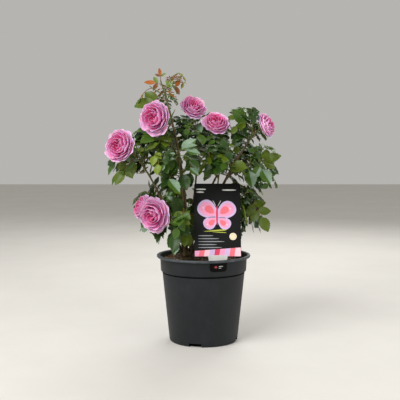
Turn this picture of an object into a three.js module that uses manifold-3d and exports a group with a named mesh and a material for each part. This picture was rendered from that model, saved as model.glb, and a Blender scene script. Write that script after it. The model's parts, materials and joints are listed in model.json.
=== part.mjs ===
import * as THREE from "three";
import { mergeVertices } from "three/addons/utils/BufferGeometryUtils.js";
import Module from "manifold-3d";

// A potted rose bush: one crown with canes, their laterals, masses of leafy twigs and blooms, the pot with its
// compost, a label card on a stake and a bare tab under the rim. Millimetres, +Z up, the front looks along -Y, and
// the origin is the middle of the pot's flat underside.

const CLEARANCE = 0.3; // air between two pieces that touch
const GROUND = 190; // level of the compost
const DEGREE = Math.PI / 180;

const POT = {
  height: 208,
  rimRadius: 112.5, // outside of the rolled lip
  lipWidth: 8,
  lipHeight: 6.2,
  collarTop: 104.4,
  collarFoot: 102.8,
  collarHeight: 38, // from the rim down to the step
  step: 2.6,
  footRadius: 82.4,
  footRound: 3.6,
  wall: 2.2,
  floor: 3,
  segments: 32,
};
const NOTCH = { count: 4, width: 30, height: 6, depth: 12, first: -14 }; // drain notches in the lower edge
const CARD = { width: 109, height: 176, corner: 4, thick: 1.2, x: 33, y: -66, foot: 210.5, turn: 1, lean: 18 };
const STAKE = { width: 46, tipWidth: 26, point: 14, depth: 78, rise: 4 };
const TAB = { width: 42, top: 200.8, height: 20, corner: 8, thick: 1.3, turn: 19 };

const CROWN = { x: -40, y: 14, lean: [-3, -3], height: 25, foot: 15, waist: 11, knob: 14, top: 9, ring: 10, lobe: 0.07 };
const CANE = { base: 4.2, tip: 2.3, sides: 5, steps: 7 }; // radii of a cane that rises from the crown
const LATERAL = { base: 3.1, tip: 1.9, sides: 5, steps: 5 }; // radii of a limb that forks from a cane
const SHORTEST_LIMB = 24;
const STEM_TIP = 1.5; // radius of a mass's stem at its end
const TWIG = { base: 1.7, tip: 1.2, shortest: 46, longer: 24, rise: 0.12, lean: 0.7, leaves: [0.5, 0.8, 1] };
const RACHIS = { base: 1.35, tip: 0.9 }; // the stalk that carries the leaflets

const LEAF = {
  stalk: 72, // length of the stalk from the stem to its last leaflet
  pairs: [0.42, 0.76], // where the pairs sit along it
  splay: 64 * DEGREE, // angle of a paired leaflet to the stalk
  droop: 0.55, // how far the stalk's end sinks, in stalk lengths
  leaflet: 43,
  root: 1.2, // half the length over which a leaflet joins its stalk
  paired: 0.84, // size of a paired leaflet against the last one
  width: 0.68, // width of a leaflet in leaflet lengths
  thick: 1.3,
  dip: 0.14, // how far a paired leaflet hangs below its stalk
  lift: 0.8, // how far it turns its face to the light
  fold: 0.07, // depth of the folded middle in leaflet lengths
  turn: 137.5 * DEGREE, // turn from one leaf to the next round its stem
};
const ARCH = { rising: [0.2, 0.8], falling: [0.55, 0.1] }; // how far out and up the middle of an aimed stalk lies
const SHORTEST_STALK = 0.1; // share of an aimed leaf that is stalk
const LEAF_SPREAD = 0.16; // share by which leaf sizes differ
const TRIES = 10; // directions that are tried before a leaf is skipped
const GROWTH = {
  first: 0.1, // share of the stem at its first leaf
  last: 0.99, // and at its last one
  underBloom: 0.82, // or at its last one under a bloom
  step: 0.7, // turn between two tries
  ahead: 0.4, // how far a leaf leans along its stem
  end: 1.4, // and at the stem's end
  outward: 0.3, // and away from the middle of the bush
  shrink: 0.04, // how much shorter each further try is
  roll: 0.9, // range of the tilt about a leaf's stalk
  fewest: 3, // leaflets that a leaf must keep
};
const BLOOM = { hip: 0.66, air: 1.08, ahead: 3, beside: 1.1, wave: 0.05, petals: 5 }; // in radii, but for the last
const RIPPLE = 1.3; // height of the compost's unevenness
const CELL_MARGIN = 0.7; // half the air between the spaces of two masses
const LEAF_MARGIN = 5.5; // air between two leaves of a mass, at the same points
const LIMB_MARGIN = 4; // air between a leaf and a limb, as measured at the leaf's sample points
const CARD_MARGIN = 8; // air between a leaf's sample points and the card
const LOWEST_LEAF = POT.height + 5;
const REACH = { centre: [-26, 18, 395], radii: [212, 150, 250] }; // the rounded outline that the leaves keep to
const LIGHT = { height: 330, outward: 1, rise: 0.55, front: 0.6 }; // where the leaves' upper faces turn

// Each shoot is a limb that carries one mass. "from" is the crown or the limb it forks from, "at" is the bearing
// round the crown in degrees or the share along the parent, "bow" moves the middle of its curve, and "heart" is
// the centre of the mass's own space. A bloom gives its centre, the way it faces and its diameter, the first one
// being the end of the shoot. "aimed" leaves give the share of the stem, where their tip ends, their size and
// their pairs of leaflets; "leaves" and "twigs" are counts.
const SHOOTS = [
  {
    name: "left", from: "crown", at: 198, bow: [0, 0, 85], heart: [-172, -32, 415],
    blooms: [[[-198, -50, 469], [-0.55, -0.8, 0.25], 82]],
    leaves: 6, twigs: 1, aimed: [[0.6, [-210, -24, 376], 0.9, 2], [0.35, [-136, -48, 424], 1, 0]],
  },
  {
    name: "centre", from: "crown", at: null, bow: [38, -18, 0], heart: [-106, 4, 604], tip: [-102, 0, 622],
    blooms: [], leaves: 4, twigs: 0, young: 0.6,
    aimed: [
      [0.98, [-105, -4, 651], 0.42, 1],
      [0.9, [-141, -5, 618], 0.64, 1],
      [0.8, [-30, -5, 607], 0.64, 1],
      [0.4, [-163, -20, 560], 1.1, 1],
    ],
  },
  {
    name: "front", from: "crown", at: 255, bow: [4, 26, 40], heart: [-54, -70, 425], tip: [-60, -72, 452],
    blooms: [], leaves: 9, twigs: 2, aimed: [[0.9, [-18, -68, 484], 0.95, 0]],
  },
  {
    name: "right", from: "crown", at: -9, bow: [24, 4, 98], heart: [108, -4, 525],
    blooms: [[[151, -15, 517], [0.8, -0.45, 0.35], 62]],
    leaves: 4, twigs: 1,
    aimed: [[0.42, [69, -4, 554], 1.1, 0]],
  },
  {
    name: "back_right", from: "crown", at: 54, bow: [-12, -12, 74], heart: [92, 104, 430], tip: [96, 118, 474],
    blooms: [], leaves: 4, twigs: 1, aimed: [],
  },
  {
    name: "back_left", from: "crown", at: 130, bow: [10, -11, 74], heart: [-118, 98, 480],
    blooms: [[[-128, 120, 536], [-0.5, 0.8, 0.3], 76]],
    leaves: 3, twigs: 1, aimed: [],
  },
  {
    name: "middle", from: "centre", at: 0.12, bow: [36, 30, 12], heart: [-10, 14, 512],
    blooms: [[[-24, 20, 563], [0.25, -0.75, 0.6], 67], [[30, 0, 524], [0.1, -0.7, 0.65], 66]],
    leaves: 8, twigs: 2, aimed: [],
  },
  {
    name: "upper_left", from: "centre", at: 0.5, bow: [-8, 10, 25], heart: [-104, -42, 500],
    blooms: [[[-116, -60, 531], [-0.6, -0.8, 0.05], 86]],
    leaves: 6, twigs: 1, aimed: [],
  },
  {
    name: "low_left", from: "left", at: 0.1, bow: [-4, 10, 22], heart: [-112, -42, 298],
    blooms: [[[-117, -70, 308], [-0.5, -0.85, -0.05], 82], [[-147, -40, 326], [-0.85, -0.35, 0.35], 64]],
    leaves: 6, twigs: 1, aimed: [[0.15, [-106, -74, 236], 0.8, 0]],
  },
  {
    name: "low_front", from: "front", at: 0.16, bow: [0, 8, 16], heart: [-50, -50, 286], tip: [-46, -62, 322],
    blooms: [], leaves: 7, twigs: 1,
    aimed: [[0.75, [-72, -84, 226], 1, 1], [1, [-36, -94, 284], 0.95, 0], [0.2, [-44, -74, 236], 0.75, 0]],
  },
  {
    name: "right_side", from: "right", at: 0.45, bow: [0, 0, 24], heart: [142, -8, 420], tip: [146, -8, 432],
    blooms: [], leaves: 4, twigs: 1,
    aimed: [
      [0.94, [184, -10, 446], 0.9, 1],
      [0.7, [170, -30, 404], 0.9, 0],
      [0.6, [157, -34, 380], 0.95, 1],
      [0.3, [114, -44, 372], 1, 0],
    ],
  },
  {
    name: "low_right", from: "right", at: 0.2, bow: [0, 2, 26], heart: [116, 22, 322], tip: [116, 26, 334],
    blooms: [], leaves: 2, twigs: 1, aimed: [[0.9, [156, -4, 262], 0.9, 2]],
  },
  {
    name: "front_right", from: "right", at: 0.32, bow: [0, 3, 42], heart: [42, -50, 415], tip: [44, -58, 440],
    blooms: [], leaves: 8, twigs: 1, aimed: [],
  },
  {
    name: "back", from: "back_left", at: 0.3, bow: [8, 0, 30], heart: [22, 112, 488],
    blooms: [[[30, 140, 526], [0.1, 0.85, 0.5], 68]],
    leaves: 4, twigs: 1, aimed: [],
  },
  {
    name: "low_back", from: "back_right", at: 0.14, bow: [0, 0, 22], heart: [10, 118, 318],
    blooms: [[[36, 146, 284], [0.3, 0.9, 0.1], 70]],
    leaves: 3, twigs: 1, aimed: [],
  },
  {
    name: "low_back_left", from: "back_left", at: 0.12, bow: [0, 0, 20], heart: [-124, 62, 318],
    tip: [-126, 66, 330], blooms: [], leaves: 2, twigs: 1, aimed: [],
  },
];

const wasm = await Module();
wasm.setup();
const UP = new THREE.Vector3(0, 0, 1);
const vector = ([x, y, z]) => new THREE.Vector3(x, y, z);
const along = (start, direction, length) => start.clone().addScaledVector(direction, length);
const mix = (a, b, share) => a + (b - a) * share;

// A closed solid of a three.js geometry, turned to face out.
function solid(geometry) {
  const bare = new THREE.BufferGeometry();
  bare.setAttribute("position", geometry.getAttribute("position"));
  bare.setIndex(geometry.index);
  const merged = mergeVertices(bare, 1e-4);
  const triVerts = new Uint32Array(merged.index.array);
  const vertProperties = merged.getAttribute("position").array;
  const made = new wasm.Manifold(new wasm.Mesh({ numProp: 3, vertProperties, triVerts }));
  if (made.volume() > 0) return made;
  for (let i = 0; i < triVerts.length; i += 3) {
    [triVerts[i + 1], triVerts[i + 2]] = [triVerts[i + 2], triVerts[i + 1]];
  }
  return new wasm.Manifold(new wasm.Mesh({ numProp: 3, vertProperties, triVerts }));
}

// The one body to keep of a fused solid: a loose scrap is dropped and a sealed hollow is filled.
const whole = (made) => made.decompose().reduce((a, b) => (b.volume() > a.volume() ? b : a));

const bush = new THREE.Group();
bush.name = "rose_bush";
function place(name, made, color, roughness) {
  const { vertProperties, triVerts } = made.getMesh();
  const geometry = new THREE.BufferGeometry();
  geometry.setAttribute("position", new THREE.BufferAttribute(new Float32Array(vertProperties), 3));
  geometry.setIndex(new THREE.BufferAttribute(new Uint32Array(triVerts), 1));
  geometry.computeVertexNormals();
  const mesh = new THREE.Mesh(geometry, new THREE.MeshStandardMaterial({ color, roughness, metalness: 0 }));
  mesh.name = name;
  bush.add(mesh);
}

// A turned solid about +Z from a profile of [radius, height] that starts and ends on the axis.
function turned(profile, segments = POT.segments) {
  const geometry = new THREE.LatheGeometry(profile.map(([r, z]) => new THREE.Vector2(r, z)), segments);
  return geometry.rotateX(Math.PI / 2);
}

// A flat plate of a shape drawn across X and up Z, its thickness centred on Y.
function plate(shape, thick) {
  return new THREE.ExtrudeGeometry(shape, { depth: thick, bevelEnabled: false, curveSegments: 5 })
    .translate(0, 0, -thick / 2)
    .rotateX(Math.PI / 2);
}

// A tapering round rod along a curve between two shares of it; "radius" gives its radius at a share of the rod.
function rod(curve, start, end, radius, sides, segments) {
  const geometry = new THREE.CylinderGeometry(1, 1, 1, sides, segments);
  const position = geometry.getAttribute("position");
  const chord = curve.getPoint(end).sub(curve.getPoint(start)).normalize();
  const reference = Math.abs(chord.z) < 0.9 ? UP : new THREE.Vector3(0, 1, 0);
  for (let i = 0; i < position.count; i++) {
    const share = position.getY(i) + 0.5;
    const t = mix(start, end, share);
    const direction = curve.getTangent(t);
    const side = new THREE.Vector3().crossVectors(direction, reference).normalize();
    const rise = new THREE.Vector3().crossVectors(side, direction);
    const r = radius(share);
    const spot = along(along(curve.getPoint(t), side, position.getX(i) * r), rise, position.getZ(i) * r);
    position.setXYZ(i, spot.x, spot.y, spot.z);
  }
  return solid(geometry);
}

// The pot: a tapering body, a step, a straight collar and a rolled lip, with drain notches in its lower edge.
const bodyRise = POT.height - POT.collarHeight - POT.footRound;
const bodyTop = POT.collarFoot - POT.step - 0.6;
const bodyRadius = (z) => mix(POT.footRadius, bodyTop, (z - POT.footRound) / bodyRise);
const collarRadius = (z) => {
  const foot = POT.height - POT.collarHeight;
  return mix(POT.collarFoot, POT.collarTop, (z - foot) / (POT.collarHeight - POT.lipHeight));
};
function potProfile() {
  const { height, rimRadius, lipWidth, lipHeight, collarHeight, wall, floor, footRound } = POT;
  const step = height - collarHeight;
  const underLip = height - lipHeight;
  const inner = rimRadius - lipWidth;
  return [
    [0, 0],
    [POT.footRadius - footRound, 0],
    [POT.footRadius - 1, 1.1],
    [POT.footRadius, footRound],
    [bodyRadius(step - POT.step), step - POT.step],
    [POT.collarFoot, step],
    [collarRadius(underLip), underLip],
    [rimRadius - 1.6, underLip],
    [rimRadius, underLip + 2.2],
    [rimRadius, height - 2.4],
    [rimRadius - 1.8, height - 0.3],
    [rimRadius - 4, height],
    [inner + 1.2, height - 0.8],
    [inner, height - 3],
    [collarRadius(underLip) - wall, underLip - 2],
    [POT.collarFoot - wall, step + 1],
    [bodyRadius(step - POT.step) - wall, step - POT.step - 1],
    [bodyRadius(floor + 2) - wall, floor + 2],
    [bodyRadius(floor) - wall - 2, floor],
    [0, floor],
  ];
}
let pot = solid(turned(potProfile()));
for (let i = 0; i < NOTCH.count; i++) {
  const notch = new THREE.BoxGeometry(NOTCH.width, 2 * NOTCH.depth, 2 * NOTCH.height)
    .translate(0, -POT.footRadius, 0)
    .rotateZ((NOTCH.first + (i * 360) / NOTCH.count) * DEGREE);
  pot = pot.subtract(solid(notch));
}
place("pot", whole(pot), 0x35373a, 0.55);

// The label: a rounded card that leans back from a plain stake stuck upright into the compost.
function cardShape() {
  const { width, height, corner } = CARD;
  const half = width / 2;
  const shape = new THREE.Shape();
  shape.moveTo(-half + corner, 0).lineTo(half - corner, 0).quadraticCurveTo(half, 0, half, corner);
  shape.lineTo(half, height - corner).quadraticCurveTo(half, height, half - corner, height);
  shape.lineTo(-half + corner, height).quadraticCurveTo(-half, height, -half, height - corner);
  shape.lineTo(-half, corner).quadraticCurveTo(-half, 0, -half + corner, 0);
  return shape;
}
function stakeShape(grow) {
  const half = STAKE.width / 2 + grow;
  const tip = STAKE.tipWidth / 2 + grow;
  const shape = new THREE.Shape();
  const shoulder = STAKE.point - STAKE.depth;
  shape.moveTo(half, STAKE.rise).lineTo(-half, STAKE.rise).lineTo(-tip, shoulder);
  shape.lineTo(0, -STAKE.depth - grow).lineTo(tip, shoulder).closePath();
  return shape;
}
const seatCard = (geometry) => geometry.rotateZ(CARD.turn * DEGREE).translate(CARD.x, CARD.y, CARD.foot);
const face = plate(cardShape(), CARD.thick).rotateX(-CARD.lean * DEGREE);
const stake = (grow) => solid(seatCard(plate(stakeShape(grow), CARD.thick + 2 * grow)));
const card = solid(seatCard(face)).add(stake(0));

// A bare tab that follows the collar under the lip.
const tabFoot = TAB.top - TAB.height;
const tabProfile = [
  [collarRadius(tabFoot) + CLEARANCE, tabFoot],
  [collarRadius(tabFoot) + CLEARANCE + TAB.thick, tabFoot],
  [collarRadius(TAB.top) + CLEARANCE + TAB.thick, TAB.top],
  [collarRadius(TAB.top) + CLEARANCE, TAB.top],
  [collarRadius(tabFoot) + CLEARANCE, tabFoot],
];
function tabShape() {
  const half = TAB.width / 2;
  const shape = new THREE.Shape();
  shape.moveTo(-half, TAB.top + 1).lineTo(-half, tabFoot + TAB.corner);
  shape.quadraticCurveTo(-half, tabFoot, TAB.corner - half, tabFoot).lineTo(half - TAB.corner, tabFoot);
  shape.quadraticCurveTo(half, tabFoot, half, tabFoot + TAB.corner).lineTo(half, TAB.top + 1);
  return shape;
}
const tabWindow = plate(tabShape(), POT.rimRadius).translate(0, -POT.rimRadius, 0).rotateZ(TAB.turn * DEGREE);
const tab = solid(turned(tabProfile)).intersect(solid(tabWindow));

// The crown: a knob on a flared foot, cut flat where it stands on the compost.
const crownFoot = GROUND - 2;
function crownSolid(grow) {
  const { foot, waist, knob, top, height } = CROWN;
  const profile = [
    [0, -grow],
    [foot + grow, -grow],
    [mix(foot, waist, 0.75) + grow, height * 0.22],
    [waist + grow, height * 0.42],
    [knob + grow, height * 0.7],
    [mix(knob, top, 0.55) + grow, height * 0.9 + grow],
    [0, height + grow],
  ];
  const geometry = turned(profile, 14);
  const position = geometry.getAttribute("position");
  for (let i = 0; i < position.count; i++) {
    const [x, y, z] = [position.getX(i), position.getY(i), position.getZ(i)];
    const lobe = 1 + CROWN.lobe * Math.sin(3 * Math.atan2(y, x) + z * 0.12);
    const share = z / height;
    const side = x * lobe + CROWN.x + share * CROWN.lean[0];
    const back = y * lobe + CROWN.y + share * CROWN.lean[1];
    position.setXYZ(i, side, back, z + crownFoot);
  }
  return solid(geometry);
}
const crown = crownSolid(0);

// The compost fills the pot to a little under the rim, with pockets for the crown and the stake.
function compostSolid() {
  const { floor, wall, collarFoot, step, height, collarHeight } = POT;
  const bend = height - collarHeight;
  const gap = wall + CLEARANCE;
  const edge = collarRadius(GROUND) - gap - 0.2;
  const base = floor + 2;
  const profile = [
    [0, floor + CLEARANCE],
    [bodyRadius(base) - gap - 2.4, floor + CLEARANCE],
    [bodyRadius(base) - gap, base + 0.5],
    [bodyRadius(bend - step) - gap - 0.2, bend - step - 1.2],
    [collarFoot - gap - 0.3, bend + 1.4],
    [edge, GROUND - 2.5],
    [edge * 0.9, GROUND],
    [edge * 0.6, GROUND + 0.5],
    [edge * 0.3, GROUND - 0.4],
    [0, GROUND],
  ];
  const geometry = turned(profile);
  const position = geometry.getAttribute("position");
  for (let i = 0; i < position.count; i++) {
    const [x, y, z] = [position.getX(i), position.getY(i), position.getZ(i)];
    if (z < GROUND - 1) continue;
    position.setZ(i, z + RIPPLE * Math.sin(x * 0.17 + y * 0.05) * Math.cos(y * 0.15 - x * 0.07));
  }
  return solid(geometry).subtract(crownSolid(CLEARANCE)).subtract(stake(CLEARANCE));
}
place("compost", whole(compostSolid()), 0x4b3526, 0.95);
place("label_card", whole(card), 0x26272b, 0.4);
place("rim_tab", whole(tab), 0x17181a, 0.4);
place("crown", crown, 0x4d4a2c, 0.8);

// The limbs' curves. Each ends where it enters the space of its mass, and the mass's own stem goes on from there.
const hearts = SHOOTS.map((shoot) => vector(shoot.heart));
function inSpace(index, spot, margin) {
  const own = hearts[index];
  const nearer = (other) => spot.distanceToSquared(other) - spot.distanceToSquared(own);
  const depth = (other) => nearer(other) / (2 * own.distanceTo(other));
  return hearts.every((other, k) => k === index || depth(other) > margin);
}
const blooms = SHOOTS.flatMap((shoot, index) =>
  shoot.blooms.map(([centre, facing, size]) => ({
    index,
    centre: vector(centre),
    facing: vector(facing).normalize(),
    radius: size / 2,
  })),
);
const hip = (bloom) => along(bloom.centre, bloom.facing, -BLOOM.hip * bloom.radius);

const limbs = new Map();
SHOOTS.forEach((shoot, index) => {
  const parent = limbs.get(shoot.from);
  const bearing = shoot.at * DEGREE;
  const ring = shoot.at === null ? 0 : CROWN.ring;
  const start = parent
    ? parent.curve.getPoint(shoot.at)
    : new THREE.Vector3(
        CROWN.x + CROWN.lean[0] * 0.6 + ring * Math.cos(bearing),
        CROWN.y + CROWN.lean[1] * 0.6 + ring * Math.sin(bearing),
        crownFoot + CROWN.height * 0.6,
      );
  const first = blooms.find((bloom) => bloom.index === index);
  const tip = first ? hip(first) : vector(shoot.tip);
  const middle = start.clone().lerp(tip, 0.5).add(vector(shoot.bow));
  const curve = new THREE.QuadraticBezierCurve3(start, middle, tip);
  const size = parent ? LATERAL : CANE;
  let enters = 1;
  while (enters > 0.1 && inSpace(index, curve.getPoint(enters), CELL_MARGIN + size.base)) enters -= 0.01;
  if (parent && shoot.at > parent.enters) throw new Error(shoot.name + " forks above its parent's end");
  enters = Math.max(enters + 0.01, SHORTEST_LIMB / curve.getLength());
  const radius = (t) => mix(size.base, size.tip, t / enters);
  limbs.set(shoot.name, { shoot, index, parent, curve, size, enters, radius });
});
const gapShare = (limb) => CLEARANCE / limb.curve.getLength();
function limbSolid(limb, grow) {
  const { base, tip, sides, steps } = limb.size;
  return rod(limb.curve, 0, limb.enters, (share) => mix(base, tip, share) + grow, sides, steps);
}
const limbSamples = [...limbs.values()].flatMap((limb) =>
  Array.from({ length: 41 }, (_, k) => {
    const t = (limb.enters * k) / 40;
    return { spot: limb.curve.getPoint(t), radius: limb.radius(t), limb };
  }),
);
for (const [name, limb] of limbs) {
  const seat = limb.parent ? limbSolid(limb.parent, CLEARANCE + 0.1) : crownSolid(CLEARANCE);
  const color = limb.parent ? 0x5b5a34 : 0x5a4630;
  place("bough_" + name, whole(limbSolid(limb, 0).subtract(seat)), color, 0.7);
}

// A repeatable number from 0 to 1 for a channel of a leaf of a mass.
function chance(mass, leaf, channel) {
  const wave = Math.sin(mass * 12.9898 + leaf * 78.233 + channel * 37.719) * 43758.5453;
  return wave - Math.floor(wave);
}

// A place is free for foliage when it is in the mass's space, above the rim, and clear of limbs, card and blooms.
const cardSide = new THREE.Vector3(Math.cos(CARD.turn * DEGREE), Math.sin(CARD.turn * DEGREE), 0);
const cardBack = new THREE.Vector3(-cardSide.y, cardSide.x, 0);
function clearOfCard(spot) {
  const offset = spot.clone().sub(new THREE.Vector3(CARD.x, CARD.y, CARD.foot));
  const depth = offset.dot(cardBack) - offset.z * Math.tan(CARD.lean * DEGREE);
  const beside = Math.abs(offset.dot(cardSide)) - CARD.width / 2;
  return depth > CARD_MARGIN || beside > CARD_MARGIN || offset.z > CARD.height + CARD_MARGIN;
}
function clearOfBloom(spot, bloom) {
  const offset = spot.clone().sub(bloom.centre);
  if (offset.length() < BLOOM.air * bloom.radius) return false;
  const ahead = offset.dot(bloom.facing);
  const beside = Math.sqrt(offset.lengthSq() - ahead * ahead);
  return ahead < 0 || ahead > BLOOM.ahead * bloom.radius || beside > BLOOM.beside * bloom.radius;
}
const reachCentre = vector(REACH.centre);
const inReach = (spot) => spot.clone().sub(reachCentre).divide(vector(REACH.radii)).length() < 1;
function free(index, spot) {
  if (spot.z < LOWEST_LEAF || !inSpace(index, spot, CELL_MARGIN) || !clearOfCard(spot)) return false;
  if (limbSamples.some((s) => s.spot.distanceTo(spot) < s.radius + LIMB_MARGIN)) return false;
  return blooms.every((bloom) => clearOfBloom(spot, bloom));
}

// The corners of a leaflet, as shares of its length along, across and above it: six round its edge, then the
// middle of its upper and lower face.
const CORNERS = [
  [1, 0, -0.07],
  [0.74, 0.36, -0.01],
  [0.34, 0.5, 0.01],
  [0, 0, 0],
  [0.34, -0.5, 0.01],
  [0.74, -0.36, -0.01],
];
function leafletSpot(leaflet, [share, across, above]) {
  const { base, axis, side, face: up, length } = leaflet;
  const spot = along(along(base, axis, share * length), side, across * LEAF.width * length);
  return along(spot, up, above * length);
}
const leafletMiddle = (leaflet, lift) => along(leafletSpot(leaflet, [0.45, 0, -LEAF.fold]), leaflet.face, lift);
function leafletSamples(leaflet) {
  const middle = leafletMiddle(leaflet, 0);
  const edge = CORNERS.map((corner) => leafletSpot(leaflet, corner));
  return [middle, ...edge, ...edge.map((spot) => spot.clone().lerp(middle, 0.5))];
}

// The closed mesh of a leaf: a three-sided stalk whose rings open into the leaflets, so that no two faces cross.
function leafSolid({ stalk, leaflets, frame }) {
  const spots = [];
  const faces = [];
  const add = (spot) => spots.push(spot) - 1;
  const ring = (t) => {
    const { up, side } = frame(t);
    const r = mix(RACHIS.base, RACHIS.tip, t);
    const centre = stalk.getPoint(t);
    const low = along(centre, up, -0.5 * r);
    return [along(centre, up, r), along(low, side, 0.87 * r), along(low, side, -0.87 * r)].map(add);
  };
  const fan = (loop, hub) => loop.forEach((spot, i) => faces.push(spot, loop[(i + 1) % loop.length], hub));
  const blade = (leaflet) => {
    const edge = [2, 1, 0, 5, 4].map((k) => add(leafletSpot(leaflet, CORNERS[k])));
    const hubs = [0.5, -0.5].map((lift) => add(leafletMiddle(leaflet, lift * LEAF.thick)));
    return { edge, hubs };
  };
  const half = LEAF.root / stalk.getLength();
  const joints = [...new Set(leaflets.map((leaflet) => leaflet.t))].filter((t) => t < 1).sort((a, b) => a - b);
  const stations = [0, ...(joints.length ? [] : [0.5]), ...joints.flatMap((t) => [t - half, t + half]), 1];
  const rings = stations.map(ring);
  faces.push(rings[0][0], rings[0][2], rings[0][1]);
  for (let k = 0; k < rings.length - 1; k++) {
    const [here, next] = [rings[k], rings[k + 1]];
    const pair = leaflets.filter((leaflet) => leaflet.t > stations[k] && leaflet.t < stations[k + 1]);
    for (let i = 0; i < 3; i++) {
      const j = (i + 1) % 3;
      const leaflet = pair.find(({ turn }) => (i === 0 && turn < 0) || (i === 2 && turn > 0));
      if (!leaflet) {
        faces.push(here[i], here[j], next[j], here[i], next[j], next[i]);
        continue;
      }
      const { edge, hubs } = blade(leaflet);
      const [top, low] = i === 0 ? [i, j] : [j, i];
      const [first, last] = i === 0 ? [here, next] : [next, here];
      fan([first[top], first[low], ...edge, last[low], last[top]], hubs[0]);
      fan([last[low], ...[...edge].reverse(), first[low]], hubs[1]);
    }
  }
  const end = rings.at(-1);
  const terminal = leaflets.find((leaflet) => leaflet.turn === 0);
  if (terminal) {
    const { edge, hubs } = blade(terminal);
    fan([end[0], end[1], ...edge, end[2]], hubs[0]);
    fan([end[2], ...[...edge].reverse(), end[1]], hubs[1]);
  } else faces.push(end[0], end[1], end[2]);
  const geometry = new THREE.BufferGeometry().setFromPoints(spots);
  return solid(geometry.setIndex(faces));
}

// A leaf turns its upper faces up and away from the middle of the bush.
const outwardFrom = (spot) => spot.clone().sub(new THREE.Vector3(CROWN.x, CROWN.y, LIGHT.height)).normalize();
const lightAt = (spot) =>
  outwardFrom(spot).multiplyScalar(LIGHT.outward).add(new THREE.Vector3(0, -LIGHT.front, LIGHT.rise));

// A leaf: a drooping stalk with pairs of leaflets and one at its end, upper faces to the light.
function leafOf(stalk, size, pairs, roll) {
  const light = lightAt(stalk.v0);
  const frame = (t) => {
    const direction = stalk.getTangent(t);
    const up = light.clone().addScaledVector(direction, -light.dot(direction)).normalize();
    const lifted = up.applyAxisAngle(direction, roll);
    return { direction, up: lifted, side: new THREE.Vector3().crossVectors(direction, lifted) };
  };
  const leaflet = (t, turn, scale) => {
    const { direction, up, side } = frame(t);
    const axis = direction.clone().applyAxisAngle(up, turn).addScaledVector(up, turn ? -LEAF.dip : 0).normalize();
    const lit = up.clone().addScaledVector(light, turn ? LEAF.lift : 0);
    const upper = lit.addScaledVector(axis, -lit.dot(axis)).normalize();
    const across = new THREE.Vector3().crossVectors(axis, upper);
    const length = LEAF.leaflet * size * scale;
    return { t, turn, base: stalk.getPoint(t), axis, face: upper, side: across, length };
  };
  const leaflets = [leaflet(1, 0, 1)];
  for (const t of LEAF.pairs.slice(2 - pairs)) {
    leaflets.push(leaflet(t, LEAF.splay, LEAF.paired), leaflet(t, -LEAF.splay, LEAF.paired));
  }
  return { stalk, leaflets, frame };
}
function stalkCurve(start, direction, length, droop) {
  const end = along(along(start, direction, 0.93 * length), UP, -droop * length);
  return new THREE.QuadraticBezierCurve3(start, along(start, direction, 0.55 * length), end);
}
const curveSamples = (curve, from) => [0, 0.25, 0.5, 0.75, 1].map((k) => curve.getPoint(mix(from, 1, k)));

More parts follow.
